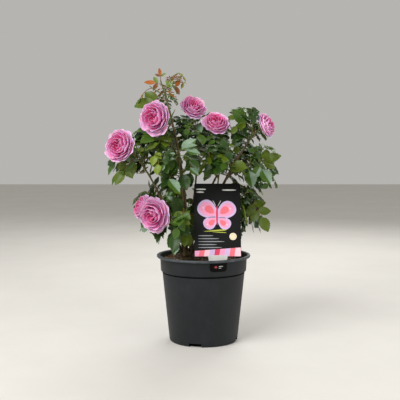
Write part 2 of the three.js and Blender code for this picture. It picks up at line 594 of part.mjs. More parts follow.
// Grows one mass: its stem, twigs and leaves, each of which is kept only where it is free.
function grow(limb) {
  const { shoot, index, curve } = limb;
  const start = limb.enters + gapShare(limb);
  const own = blooms.filter((bloom) => bloom.index === index);
  const mass = { limb, start, twigs: [], leaves: [], blooms: own };
  const addTwig = (twig) => {
    mass.twigs.push(twig);
    rods.push(...rodSpots(twig, 0));
  };
  const rodSpots = (rodCurve, from) => Array.from({ length: 25 }, (_, k) => rodCurve.getPoint(mix(from, 1, k / 24)));
  const taken = [];
  const rods = rodSpots(curve, start);
  const apart = (spot, others) => others.every((other) => other.distanceTo(spot) > LEAF_MARGIN);
  const isFree = (spot) => free(index, spot) && apart(spot, taken);
  const keep = (leaf, test) => {
    leaf.leaflets = leaf.leaflets.filter((leaflet) => leafletSamples(leaflet).every(test));
    return leaf;
  };
  const settle = (leaf) => {
    mass.leaves.push(leaf);
    taken.push(...leaf.leaflets.flatMap(leafletSamples), ...curveSamples(leaf.stalk, 0.3));
  };
  const size = (key) => (shoot.young ?? 1) * (1 + LEAF_SPREAD * (2 * chance(index, key, 1) - 1));
  const radialOf = (carrier, t, angle) => {
    const direction = carrier.getTangent(t);
    const reference = Math.abs(direction.z) < 0.9 ? UP : new THREE.Vector3(1, 0, 0);
    const side = new THREE.Vector3().crossVectors(direction, reference).normalize();
    return { direction, radial: side.applyAxisAngle(direction, angle) };
  };

  // One leaf at a share of its carrier, tried in several directions.
  const addLeaf = (carrier, t, key) => {
    let best = null;
    for (let n = 0; n < TRIES; n++) {
      const angle = key * LEAF.turn + n * GROWTH.step + chance(index, key, 2);
      const { direction, radial } = radialOf(carrier, t, angle);
      const outward = outwardFrom(carrier.getPoint(t));
      radial.addScaledVector(direction, t > 0.97 ? GROWTH.end : GROWTH.ahead);
      const heading = radial.addScaledVector(outward, GROWTH.outward).normalize();
      const scale = size(key) * (1 - GROWTH.shrink * n);
      const droop = LEAF.droop * (0.6 + 0.8 * chance(index, key, 3));
      const stalk = stalkCurve(carrier.getPoint(t), heading, LEAF.stalk * scale, droop);
      const roll = GROWTH.roll * (chance(index, key, 4) - 0.5);
      if (!curveSamples(stalk, 0.3).every(isFree)) continue;
      const leaf = keep(leafOf(stalk, scale, 2, roll), (spot) => isFree(spot) && inReach(spot) && apart(spot, rods));
      if (leaf.leaflets.length > (best ? best.leaflets.length : GROWTH.fewest - 1)) best = leaf;
      if (best && best.leaflets.length === 5) break;
    }
    if (best) settle(best);
  };
  own.slice(1).forEach((bloom) => {
    const from = curve.getPoint(mix(start, 1, 0.3));
    const to = hip(bloom);
    const bend = along(from.clone().lerp(to, 0.5), UP, 8);
    addTwig(new THREE.QuadraticBezierCurve3(from, bend, to));
  });
  for (const [share, target, scale, pairs] of shoot.aimed) {
    const from = curve.getPoint(mix(start, 1, share));
    const tip = vector(target);
    const step = tip.clone().sub(from);
    const length = LEAF.leaflet * scale;
    const [out, rise] = step.z > 0 ? ARCH.rising : ARCH.falling;
    const slack = Math.max(SHORTEST_STALK, 1 - length / step.length());
    const middle = from.clone().add(step.multiply(new THREE.Vector3(out, out, rise)).multiplyScalar(slack));
    const end = along(tip, tip.clone().sub(middle).normalize(), -length);
    const stalk = new THREE.QuadraticBezierCurve3(from, middle, end);
    const leaf = keep(leafOf(stalk, scale, pairs, 0), isFree);
    if (leaf.leaflets.length) settle(leaf);
  }
  for (let k = 0; k < shoot.leaves; k++) {
    const last = own.length ? GROWTH.underBloom : GROWTH.last;
    addLeaf(curve, mix(start, 1, mix(GROWTH.first, last, k / (shoot.leaves - 1))), k);
  }
  for (let k = 0; k < shoot.twigs; k++) {
    for (let n = 0; n < TRIES; n++) {
      const key = 20 + k * 10;
      const t = mix(start, 1, 0.3 + 0.4 * chance(index, key, 5));
      const { direction, radial } = radialOf(curve, t, key + n * 0.9);
      const heading = radial.addScaledVector(direction, TWIG.lean).normalize();
      const length = TWIG.shortest + TWIG.longer * chance(index, key, 6) - 3 * n;
      const twig = stalkCurve(curve.getPoint(t), heading, length, -TWIG.rise);
      if (!curveSamples(twig, 0.2).every(isFree)) continue;
      addTwig(twig);
      TWIG.leaves.forEach((share, j) => addLeaf(twig, share, key + j + 1));
      break;
    }
  }
  return mass;
}

// A bloom: a hip and cupped rows of petals, stepped towards the middle, with a wavy edge.
const BLOOM_ROWS = [
  [0, 0.24],
  [0.28, 0.3],
  [0.56, 0.4],
  [0.7, 0.26],
  [0.96, 0.18],
  [0.98, -0.04],
  [0.72, -0.34],
  [0.22, -0.56],
  [0, -0.78],
];
function bloomSolid({ centre, facing, radius }, index) {
  const rows = BLOOM_ROWS.length - 1;
  const geometry = new THREE.SphereGeometry(1, 12, rows);
  const position = geometry.getAttribute("position");
  for (let i = 0; i < position.count; i++) {
    const row = Math.round((Math.acos(THREE.MathUtils.clamp(position.getY(i), -1, 1)) / Math.PI) * rows);
    const turn = Math.atan2(position.getZ(i), position.getX(i));
    const [r, height] = BLOOM_ROWS[row];
    const wave = 1 + (row < 6 ? BLOOM.wave : 0) * Math.sin(BLOOM.petals * turn + index + row);
    position.setXYZ(i, r * wave * radius * Math.cos(turn), r * wave * radius * Math.sin(turn), height * radius);
  }
  const turn = new THREE.Quaternion().setFromUnitVectors(UP, facing);
  return solid(geometry.applyQuaternion(turn).translate(centre.x, centre.y, centre.z));
}

function massSolid(mass) {
  const { limb, start } = mass;
  const tip = mass.blooms.length ? STEM_TIP + 0.3 : STEM_TIP;
  const parts = [rod(limb.curve, start, 1, (share) => mix(limb.size.tip, tip, share), 4, 4)];
  for (const twig of mass.twigs) parts.push(rod(twig, 0, 1, (share) => mix(TWIG.base, TWIG.tip, share), 3, 3));
  parts.push(...mass.leaves.map(leafSolid));
  parts.push(...mass.blooms.map(bloomSolid));
  return whole(wasm.Manifold.union(parts));
}
for (const limb of limbs.values()) {
  place("mass_" + limb.shoot.name, massSolid(grow(limb)), 0x3f6b32, 0.6);
}

export default bush;
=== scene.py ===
"""A potted rose bush in a pale studio: canes, leaves and blooms grown by the part's own rule, the pot, its
compost and its label card.

Sizes are in millimetres in the part's frame and become metres where a mesh is made."""

import json
import math

import bmesh
import bpy
import mathutils
import numpy as np
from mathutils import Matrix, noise

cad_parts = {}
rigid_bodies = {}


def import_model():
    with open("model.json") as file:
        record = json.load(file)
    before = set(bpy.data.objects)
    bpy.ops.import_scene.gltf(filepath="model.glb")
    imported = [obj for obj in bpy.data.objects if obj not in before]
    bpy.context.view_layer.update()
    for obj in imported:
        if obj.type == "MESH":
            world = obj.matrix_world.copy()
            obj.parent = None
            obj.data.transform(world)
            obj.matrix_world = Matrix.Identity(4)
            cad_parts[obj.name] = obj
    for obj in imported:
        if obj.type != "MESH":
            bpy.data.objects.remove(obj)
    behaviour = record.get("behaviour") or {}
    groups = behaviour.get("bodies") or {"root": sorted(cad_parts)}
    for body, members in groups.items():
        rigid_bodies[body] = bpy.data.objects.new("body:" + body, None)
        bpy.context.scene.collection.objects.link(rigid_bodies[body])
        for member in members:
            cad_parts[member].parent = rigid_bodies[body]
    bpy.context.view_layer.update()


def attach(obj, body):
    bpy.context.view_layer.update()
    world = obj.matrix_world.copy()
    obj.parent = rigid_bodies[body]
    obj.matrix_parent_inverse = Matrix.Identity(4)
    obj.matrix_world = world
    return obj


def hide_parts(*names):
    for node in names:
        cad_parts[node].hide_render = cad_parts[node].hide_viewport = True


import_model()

MM = 0.001
UP = np.array([0.0, 0.0, 1.0])
GOLDEN = math.radians(137.5)  # turn from one leaf or prickle to the next
CLEARANCE = 0.3
GROUND = 190  # level of the compost

POT = dict(
    height=208, rim=112.5, lip_width=8, lip_height=6.2, collar_top=104.4, collar_foot=102.8, collar_height=38,
    step=2.6, foot=82.4, foot_round=3.6, wall=2.2, floor=3, segments=144,
)
NOTCH = dict(count=4, width=30, height=8.5, depth=12, first=-14)
GROOVE = dict(height=2.6, depth=0.7)  # under the collar
CARD = dict(width=109, height=176, corner=4, thick=1.2, x=33, y=-66, foot=210.5, turn=1, lean=18, margin=8)
STAKE = dict(width=46, tip_width=26, point=14, depth=78, rise=4)
TAB = dict(width=42, top=200.8, height=20, corner=8, thick=1.3, turn=19, edge=0.8)
CROWN = dict(
    x=-40, y=14, lean=(-3, -3), height=25, fork=0.6, foot=15, waist=11, knob=14, top=9, flat=4, ring=10,
    lobe=0.07, bark=0.025, rows=22, segments=48,
)
CROWN_FOOT = GROUND - 2
CANE = dict(base=4.2, tip=2.3)
LATERAL = dict(base=3.1, tip=1.9)
SHORTEST_LIMB = 24
STEM_TIP = 1.5
TWIG = dict(
    base=1.7, tip=1.2, shortest=46, longer=24, shorter=3, rise=0.12, lean=0.7, turn=0.9, first=0.3,
    spread=0.4, leaves=(0.5, 0.8, 1),
)
LEAF = dict(
    stalk=72, reach=0.93, bend=0.55, droop=0.55, droop_least=0.6, droop_spread=0.8, pairs=(0.42, 0.76),
    splay=math.radians(64), leaflet=43, paired=0.84, width=0.68, dip=0.14, lift=0.8, fold=0.07,
)
GROWTH = dict(
    first=0.1, last=0.99, under_bloom=0.82, end_from=0.97, step=0.7, ahead=0.4, end=1.4, outward=0.3,
    shrink=0.04, roll=0.9, pairs=2, fewest=3, spread=0.16, tries=10, twig_key=20, key_step=10,
)
RISING, FALLING = (0.2, 0.8), (0.55, 0.1)  # how far out and up an aimed leaf's stalk bends
SHORTEST_STALK = 0.1
CELL_MARGIN, LEAF_MARGIN, LIMB_MARGIN = 0.7, 5.5, 4
LOWEST_LEAF = POT["height"] + 5
REACH = dict(centre=np.array([-26.0, 18, 395]), radii=np.array([212.0, 150, 250]))
LIGHT = dict(height=330, outward=1, rise=0.55, front=0.6)
BLOOM = dict(hip=0.66, air=1.08, ahead=3, beside=1.1, twig_bow=8)
# How curves are sampled for what lies near them: spots on a limb or an open line, and shares of the rest.
LIMB_SAMPLES, OPEN_SAMPLES = 41, 50
ROD_SHARES, STALK_SHARES, TWIG_SHARES = np.linspace(0, 1, 25), np.linspace(0.3, 1, 5), np.linspace(0.2, 1, 5)

# The finer growth that fills the same spaces between the part's own leaves.
FINE = dict(
    leaves=4.2, more=4, fewest=10, twigs=4, margin=2.2, limb=2, sizes=(0.62, 0.95), bloom_air=1.03,
    first_key=300, leaf_key=100, twig_from=0.15, twig_lengths=(34, 64), twig_leaves=(0.35, 0.6, 0.8, 1),
    radii=(1.3, 0.85),
)
VIEWER = np.array([-8.5, -1760.0, 470.0])  # the eye of the photo
TO_VIEWER = np.array([-0.1, -0.85, 0.52])  # where the broad leaves that it shows turn their faces
BROAD_FROM = 0.6  # size of the smallest of them
OPEN_LINES = dict(left=(0.25, 1), centre=(0.3, 1), right=(0.35, 0.95))  # stretches of cane that nothing hides
OPEN_WIDTH = 7
SHOWN_WIDTH = 2.5  # and how far fine leaves keep from the broad leaves in that view
# Gaps between the leaves in that view: left, right, low and high on the upright plane through the pot's axis.
GAPS = [
    (-219, -171, 188, 372), (-171, -154, 188, 299), (-154, -123, 188, 256), (-178, -133, 360, 396),
    (-1, 44, 555, 581), (-185, -154, 510, 552), (78, 145, 560, 585), (94, 140, 188, 258),
    (145, 192, 229, 362),
]

# Each shoot is a limb that carries one mass, as in the part: where it forks, the bow of its curve, the
# heart of its space, its tip or its blooms (centre, facing, diameter), its counts of leaves and twigs, and
# its aimed leaves (share of the stem, tip, size, pairs, tone). The extra ones are aimed too, and only this
# script grows them.
SHOOTS = [
    dict(name="left", start="crown", at=198, bow=(0, 0, 85), heart=(-172, -32, 415),
         blooms=[((-198, -50, 469), (-0.55, -0.8, 0.25), 82)], leaves=6, twigs=1,
         aimed=[(0.6, (-210, -24, 376), 0.9, 2, 4), (0.35, (-136, -48, 424), 1, 0, 0)],
         extra=[(0.55, (-114, -32, 418), 1.05, 0, 2)]),
    dict(name="centre", start="crown", at=None, bow=(38, -18, 0), heart=(-106, 4, 604), tip=(-102, 0, 622),
         leaves=4, twigs=0, young=0.6,
         aimed=[(0.98, (-105, -4, 651), 0.42, 1, 4), (0.9, (-141, -5, 618), 0.64, 1, 4),
                (0.8, (-30, -5, 607), 0.64, 1, 4), (0.4, (-163, -20, 560), 1.1, 1, 4)]),
    dict(name="front", start="crown", at=255, bow=(4, 26, 40), heart=(-54, -70, 425), tip=(-60, -72, 452),
         leaves=9, twigs=2, aimed=[(0.9, (-18, -68, 484), 0.95, 0, 2)],
         extra=[(0.9, (-84, -92, 398), 1.05, 0, 1), (0.5, (-38, -84, 368), 1, 0, 1),
                (0.3, (-96, -84, 372), 1, 0, 1), (0.5, (-26, 6, 369), 1.1, 0, 1)]),
    dict(name="right", start="crown", at=-9, bow=(24, 4, 98), heart=(108, -4, 525),
         blooms=[((151, -15, 517), (0.8, -0.45, 0.35), 62)], leaves=4, twigs=1,
         aimed=[(0.42, (69, -4, 554), 1.1, 0, 0)],
         extra=[(0.3, (88, -40, 500), 0.9, 0, 1)]),
    dict(name="back_right", start="crown", at=54, bow=(-12, -12, 74), heart=(92, 104, 430),
         tip=(96, 118, 474), leaves=4, twigs=1),
    dict(name="back_left", start="crown", at=130, bow=(10, -11, 74), heart=(-118, 98, 480),
         blooms=[((-128, 120, 536), (-0.5, 0.8, 0.3), 76)], leaves=3, twigs=1),
    dict(name="middle", start="centre", at=0.12, bow=(36, 30, 12), heart=(-10, 14, 512),
         blooms=[((-24, 20, 563), (0.25, -0.75, 0.6), 67), ((30, 0, 524), (0.1, -0.7, 0.65), 66)],
         leaves=8, twigs=2, extra=[(0.65, (-57, 22, 490), 1.05, 0, 2), (0.75, (-6, -2, 501), 1.05, 0, 2)]),
    dict(name="upper_left", start="centre", at=0.5, bow=(-8, 10, 25), heart=(-104, -42, 500),
         blooms=[((-116, -60, 531), (-0.6, -0.8, 0.05), 86)], leaves=6, twigs=1,
         extra=[(0.5, (-146, -58, 476), 0.95, 0, 0), (0.4, (-88, -66, 466), 0.9, 0, 4)]),
    dict(name="low_left", start="left", at=0.1, bow=(-4, 10, 22), heart=(-112, -42, 298),
         blooms=[((-117, -70, 308), (-0.5, -0.85, -0.05), 82), ((-147, -40, 326), (-0.85, -0.35, 0.35), 64)],
         leaves=6, twigs=1, aimed=[(0.15, (-106, -74, 236), 0.8, 0, 1)],
         extra=[(0.25, (-113, -56, 251), 1.05, 0, 1)]),
    dict(name="low_front", start="front", at=0.16, bow=(0, 8, 16), heart=(-50, -50, 286), tip=(-46, -62, 322),
         leaves=7, twigs=1,
         aimed=[(0.75, (-72, -84, 226), 1, 1, 1), (1, (-36, -94, 284), 0.95, 0, 0),
                (0.2, (-44, -74, 236), 0.75, 0, 4)],
         extra=[(0.85, (-34, -40, 230), 0.7, 0, 3), (0.35, (-39, -16, 283), 1.1, 0, 1)]),
    dict(name="right_side", start="right", at=0.45, bow=(0, 0, 24), heart=(142, -8, 420), tip=(146, -8, 432),
         leaves=4, twigs=1,
         aimed=[(0.94, (184, -10, 446), 0.9, 1, 4), (0.7, (170, -30, 404), 0.9, 0, 2),
                (0.6, (157, -34, 380), 0.95, 1, 2), (0.3, (114, -44, 372), 1, 0, 2)]),
    dict(name="low_right", start="right", at=0.2, bow=(0, 2, 26), heart=(116, 22, 322), tip=(116, 26, 334),
         leaves=2, twigs=1, aimed=[(0.9, (156, -4, 262), 0.9, 2, 4)]),
    dict(name="front_right", start="right", at=0.32, bow=(0, 3, 42), heart=(42, -50, 415), tip=(44, -58, 440),
         leaves=8, twigs=1, extra=[(0.5, (98, -80, 419), 1.15, 0, 4)]),
    dict(name="back", start="back_left", at=0.3, bow=(8, 0, 30), heart=(22, 112, 488),
         blooms=[((30, 140, 526), (0.1, 0.85, 0.5), 68)], leaves=4, twigs=1),
    dict(name="low_back", start="back_right", at=0.14, bow=(0, 0, 22), heart=(10, 118, 318),
         blooms=[((36, 146, 284), (0.3, 0.9, 0.1), 70)], leaves=3, twigs=1),
    dict(name="low_back_left", start="back_left", at=0.12, bow=(0, 0, 20), heart=(-124, 62, 318),
         tip=(-126, 66, 330), leaves=2, twigs=1),
]
MASSES = ["mass_" + shoot["name"] for shoot in SHOOTS]
BOUGHS = ["bough_" + shoot["name"] for shoot in SHOOTS]


def vector(values):
    return np.array(values, float)


def unit(v):
    return v / np.linalg.norm(v)


def mix(a, b, share):
    return a + (b - a) * share


def turned(v, axis, angle):
    """v turned about a unit axis."""
    cos, sin = math.cos(angle), math.sin(angle)
    return v * cos + np.cross(axis, v) * sin + axis * np.dot(axis, v) * (1 - cos)


def spun(x, y, angle):
    """The two sides of a place, turned in their plane."""
    cos, sin = math.cos(angle), math.sin(angle)
    return x * cos - y * sin, x * sin + y * cos


def side_of(direction, spare):
    """A unit vector square to a direction, level where the direction isn't upright."""
    return unit(np.cross(direction, UP if abs(direction[2]) < 0.9 else vector(spare)))


def bent(start, middle, end, t):
    """A place or value at a share of a curve bent by its middle."""
    return (1 - t) ** 2 * start + 2 * t * (1 - t) * middle + t * t * end


class Bow:
    """A curve bent by one middle point."""

    def __init__(self, start, middle, end):
        self.start, self.middle, self.end = start, middle, end

    def at(self, t):
        return bent(self.start, self.middle, self.end, np.asarray(t, float)[..., None])

    def heading(self, t):
        return unit(self.at(min(t + 1e-4, 1)) - self.at(max(t - 1e-4, 0)))

    def length(self):
        return np.linalg.norm(np.diff(self.at(np.linspace(0, 1, 201)), axis=0), axis=1).sum()


class Piece:
    """Gathers closed shapes and becomes one mesh object."""

    def __init__(self):
        self.spots, self.faces, self.tones, self.count = [], [], [], 0

    def add(self, spots, faces, tones):
        """Spots in millimetres, faces as lists of corners, and a tone for each face or one for all."""
        self.spots.append(np.asarray(spots, float))
        self.faces.extend((np.asarray(block) + self.count).tolist() for block in faces)
        size = sum(len(block) for block in faces)
        self.tones.append(np.broadcast_to(tones, size))
        self.count += len(spots)

    def made(self, name, materials, sharp=50):
        mesh = bpy.data.meshes.new(name)
        faces = [face for block in self.faces for face in block]
        mesh.from_pydata((np.concatenate(self.spots) * MM).tolist(), [], faces)
        for material in materials:
            mesh.materials.append(material)
        mesh.polygons.foreach_set("material_index", np.concatenate(self.tones).astype(np.int32))
        mesh.polygons.foreach_set("use_smooth", np.ones(len(faces), bool))
        mesh.set_sharp_from_angle(angle=math.radians(sharp))
        mesh.update()
        piece = bpy.data.objects.new(name, mesh)
        bpy.context.scene.collection.objects.link(piece)
        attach(piece, "root")
        return piece


def grid_faces(rows, columns, closed=False):
    """The quads of a grid of rows, wrapped round its columns where it is closed."""
    i, j = np.meshgrid(np.arange(rows - 1), np.arange(columns if closed else columns - 1), indexing="ij")
    here, beside = i * columns + j, i * columns + (j + 1) % columns
    return np.stack([here, beside, beside + columns, here + columns], -1).reshape(-1, 4)


def rim_faces(ring, step):
    """The quads between a ring of corners and the like ring that many corners further on."""
    after = np.roll(ring, -1)
    return np.stack([ring, ring + step, after + step, after], -1)


def fan(ring, tip, back=False):
    """The triangles from a closed ring of corners to one more corner, turned round if they face back."""
    pair = [np.roll(ring, -1), ring] if back else [ring, np.roll(ring, -1)]
    return np.stack(pair + [np.full(len(ring), tip)], -1)


def blade_faces(rows, columns):
    """The quads of a thin closed blade: its upper grid, its lower grid and the rim between them."""
    top = grid_faces(rows, columns)
    corners = np.arange(rows * columns).reshape(rows, columns)
    ring = np.concatenate([corners[0], corners[1:, -1], corners[-1, -2::-1], corners[-2:0:-1, 0]])
    return top, top[:, ::-1] + corners.size, rim_faces(ring, corners.size)


def tube(piece, curve, span, radii, sides, rings, tone, relief=None):
    """A closed tube along a span of a curve; relief, if given, changes its radius by share and angle."""
    start, end = span
    angles = np.arange(sides) * math.tau / sides
    spots = []
    for share in np.linspace(0, 1, rings):
        t = mix(start, end, share)
        direction = curve.heading(t)
        side = side_of(direction, (0, 1, 0))
        rise = np.cross(side, direction)
        r = mix(*radii, share) * (np.ones(sides) if relief is None else relief(share, angles))
        circle = np.cos(angles)[:, None] * side + np.sin(angles)[:, None] * rise
        spots.append(curve.at(t) + r[:, None] * circle)
    spots = np.concatenate(spots + [curve.at(start)[None], curve.at(end)[None]])
    around = grid_faces(rings, sides, closed=True)[:, ::-1]
    ring, count = np.arange(sides), sides * rings
    ends = [fan(ring, count), fan(ring + count - sides, count + 1, back=True)]
    piece.add(spots, [around] + ends, tone)


# The rule of growth, as in the part.
HEARTS = vector([shoot["heart"] for shoot in SHOOTS])


def depth_in_space(index, spots):
    """How deep spots lie in a mass's own space, which is nearer its heart than any other heart."""
    own, others = HEARTS[index], np.delete(HEARTS, index, 0)
    nearer = ((spots[:, None] - others) ** 2).sum(-1) - ((spots - own) ** 2).sum(-1)[:, None]
    return (nearer / (2 * np.linalg.norm(others - own, axis=1))).min(1)


def blooms_of(index):
    rows = SHOOTS[index].get("blooms", [])
    return [
        dict(
            index=index, order=k, number=index + 20 * k, radius=size / 2,
            centre=vector(centre), facing=unit(vector(facing)),
        )
        for k, (centre, facing, size) in enumerate(rows)
    ]


BLOOMS = [bloom for index in range(len(SHOOTS)) for bloom in blooms_of(index)]


def hip(bloom):
    return bloom["centre"] - BLOOM["hip"] * bloom["radius"] * bloom["facing"]


def grow_limbs():
    """The limbs by name. Each ends where it enters the space of its mass."""
    limbs = {}
    for index, shoot in enumerate(SHOOTS):
        parent = limbs.get(shoot["start"])
        if parent:
            start = parent["curve"].at(shoot["at"])
        else:
            ring = 0 if shoot["at"] is None else CROWN["ring"]
            bearing = math.radians(shoot["at"] or 0)
            x = CROWN["x"] + CROWN["lean"][0] * CROWN["fork"] + ring * math.cos(bearing)
            y = CROWN["y"] + CROWN["lean"][1] * CROWN["fork"] + ring * math.sin(bearing)
            start = vector((x, y, CROWN_FOOT + CROWN["height"] * CROWN["fork"]))
        own = blooms_of(index)
        tip = hip(own[0]) if own else vector(shoot["tip"])
        curve = Bow(start, mix(start, tip, 0.5) + vector(shoot["bow"]), tip)
        size = LATERAL if parent else CANE
        enters = 1.0
        while enters > 0.1 and depth_in_space(index, curve.at(enters)[None])[0] > CELL_MARGIN + size["base"]:
            enters -= 0.01
        enters = max(enters + 0.01, SHORTEST_LIMB / curve.length())
        limbs[shoot["name"]] = dict(
            shoot=shoot, index=index, curve=curve, size=size, enters=enters, parent=parent,
        )
    return limbs


LIMBS = grow_limbs()
LIMB_SPOTS = np.concatenate(
    [limb["curve"].at(np.linspace(0, limb["enters"], LIMB_SAMPLES)) for limb in LIMBS.values()]
)
LIMB_RADII = np.concatenate(
    [np.linspace(limb["size"]["base"], limb["size"]["tip"], LIMB_SAMPLES) for limb in LIMBS.values()]
)
OPEN_SPOTS = np.concatenate(
    [LIMBS[name]["curve"].at(np.linspace(*span, OPEN_SAMPLES)) for name, span in OPEN_LINES.items()]
)
CARD_SIDE = vector((math.cos(math.radians(CARD["turn"])), math.sin(math.radians(CARD["turn"])), 0))
CARD_BACK = vector((-CARD_SIDE[1], CARD_SIDE[0], 0))
CARD_FOOT = vector((CARD["x"], CARD["y"], CARD["foot"]))
CORNERS = vector([  # of a leaflet: share of its length, across it, above it
    (1, 0, -0.07), (0.74, 0.36, -0.01), (0.34, 0.5, 0.01), (0, 0, 0), (0.34, -0.5, 0.01),
    (0.74, -0.36, -0.01),
])


def chance(mass, leaf, channel):
    """A repeatable number from 0 to 1 for a channel of a leaf of a mass."""
    wave = math.sin(mass * 12.9898 + leaf * 78.233 + channel * 37.719) * 43758.5453
    return wave - math.floor(wave)


def nearest(spots, others):
    """The least distance from any of the spots to any of the others."""
    if not len(others):
        return math.inf
    return math.sqrt(((spots[:, None] - others) ** 2).sum(-1).min())


def clear_of_card(spots):
    offset = spots - CARD_FOOT
    depth = offset @ CARD_BACK - offset[:, 2] * math.tan(math.radians(CARD["lean"]))
    beside = np.abs(offset @ CARD_SIDE) - CARD["width"] / 2
    margin = CARD["margin"]
    return (depth > margin) | (beside > margin) | (offset[:, 2] > CARD["height"] + margin)


def clear_of_blooms(spots, air):
    clear = np.ones(len(spots), bool)
    for bloom in BLOOMS:
        offset, radius = spots - bloom["centre"], bloom["radius"]
        away = (offset**2).sum(1)
        ahead = offset @ bloom["facing"]
        beside = np.sqrt(np.maximum(away - ahead**2, 0))
        before = (ahead >= 0) & (ahead <= BLOOM["ahead"] * radius) & (beside <= BLOOM["beside"] * radius)
        clear &= (np.sqrt(away) >= air * radius) & ~before
    return clear


def outward_from(spot):
    return unit(spot - vector((CROWN["x"], CROWN["y"], LIGHT["height"])))


def light_at(spot):
    return outward_from(spot) * LIGHT["outward"] + vector((0, -LIGHT["front"], LIGHT["rise"]))


def blade_spots(blade, shape):
    """The places of (share, across, above) rows of a leaflet, in millimetres."""
    along, across, above = shape[:, :1], shape[:, 1:2], shape[:, 2:3]
    length = blade["length"]
    spots = blade["base"] + along * length * blade["axis"]
    return spots + across * LEAF["width"] * length * blade["side"] + above * length * blade["face"]


def blade_samples(blade):
    edge = blade_spots(blade, CORNERS)
    middle = blade_spots(blade, vector([(0.45, 0, -LEAF["fold"])]))
    return np.concatenate([middle, edge, (edge + middle) / 2])


def hides(spots, shown, width):
    """Whether any of the spots lies before any of the shown ones, as the viewer sees them."""
    if not len(shown):
        return False
    offset, reach = spots - VIEWER, shown - VIEWER
    length = np.linalg.norm(reach, axis=1)
    ahead = offset @ (reach / length[:, None]).T
    beside = np.sqrt(np.maximum((offset**2).sum(1)[:, None] - ahead**2, 0))
    return ((beside < width) & (ahead < length - 1)).any()


def shuts_gap(spots):
    """Whether any of the spots lies in one of the gaps, as the viewer sees them."""
    shares = VIEWER[1] / (VIEWER[1] - spots[:, 1])
    x, _, z = (VIEWER + (spots - VIEWER) * shares[:, None]).T
    return any(((x > left) & (x < right) & (z > low) & (z < high)).any() for left, right, low, high in GAPS)


def leaf_of(stalk, size, pairs, roll, light=None):
    """A leaf: a stalk with pairs of leaflets and one at its end, upper faces to the light."""
    light = light_at(stalk.start) if light is None else light
    blades = []
    places = [(1, 0, 1)]
    for t in LEAF["pairs"][GROWTH["pairs"] - pairs:]:
        places += [(t, LEAF["splay"], LEAF["paired"]), (t, -LEAF["splay"], LEAF["paired"])]
    for t, turn, scale in places:
        direction = stalk.heading(t)
        up = turned(unit(light - light.dot(direction) * direction), direction, roll)
        axis = unit(turned(direction, up, turn) - up * (LEAF["dip"] if turn else 0))
        lit = up + light * (LEAF["lift"] if turn else 0)
        face = unit(lit - lit.dot(axis) * axis)
        length = LEAF["leaflet"] * size * scale
        side = np.cross(axis, face)
        blades.append(dict(t=t, base=stalk.at(t), axis=axis, face=face, side=side, length=length))
    return dict(stalk=stalk, blades=blades, size=size)


def stalk_curve(start, direction, length, droop):
    end = start + LEAF["reach"] * length * direction - droop * length * UP
    return Bow(start, start + LEAF["bend"] * length * direction, end)


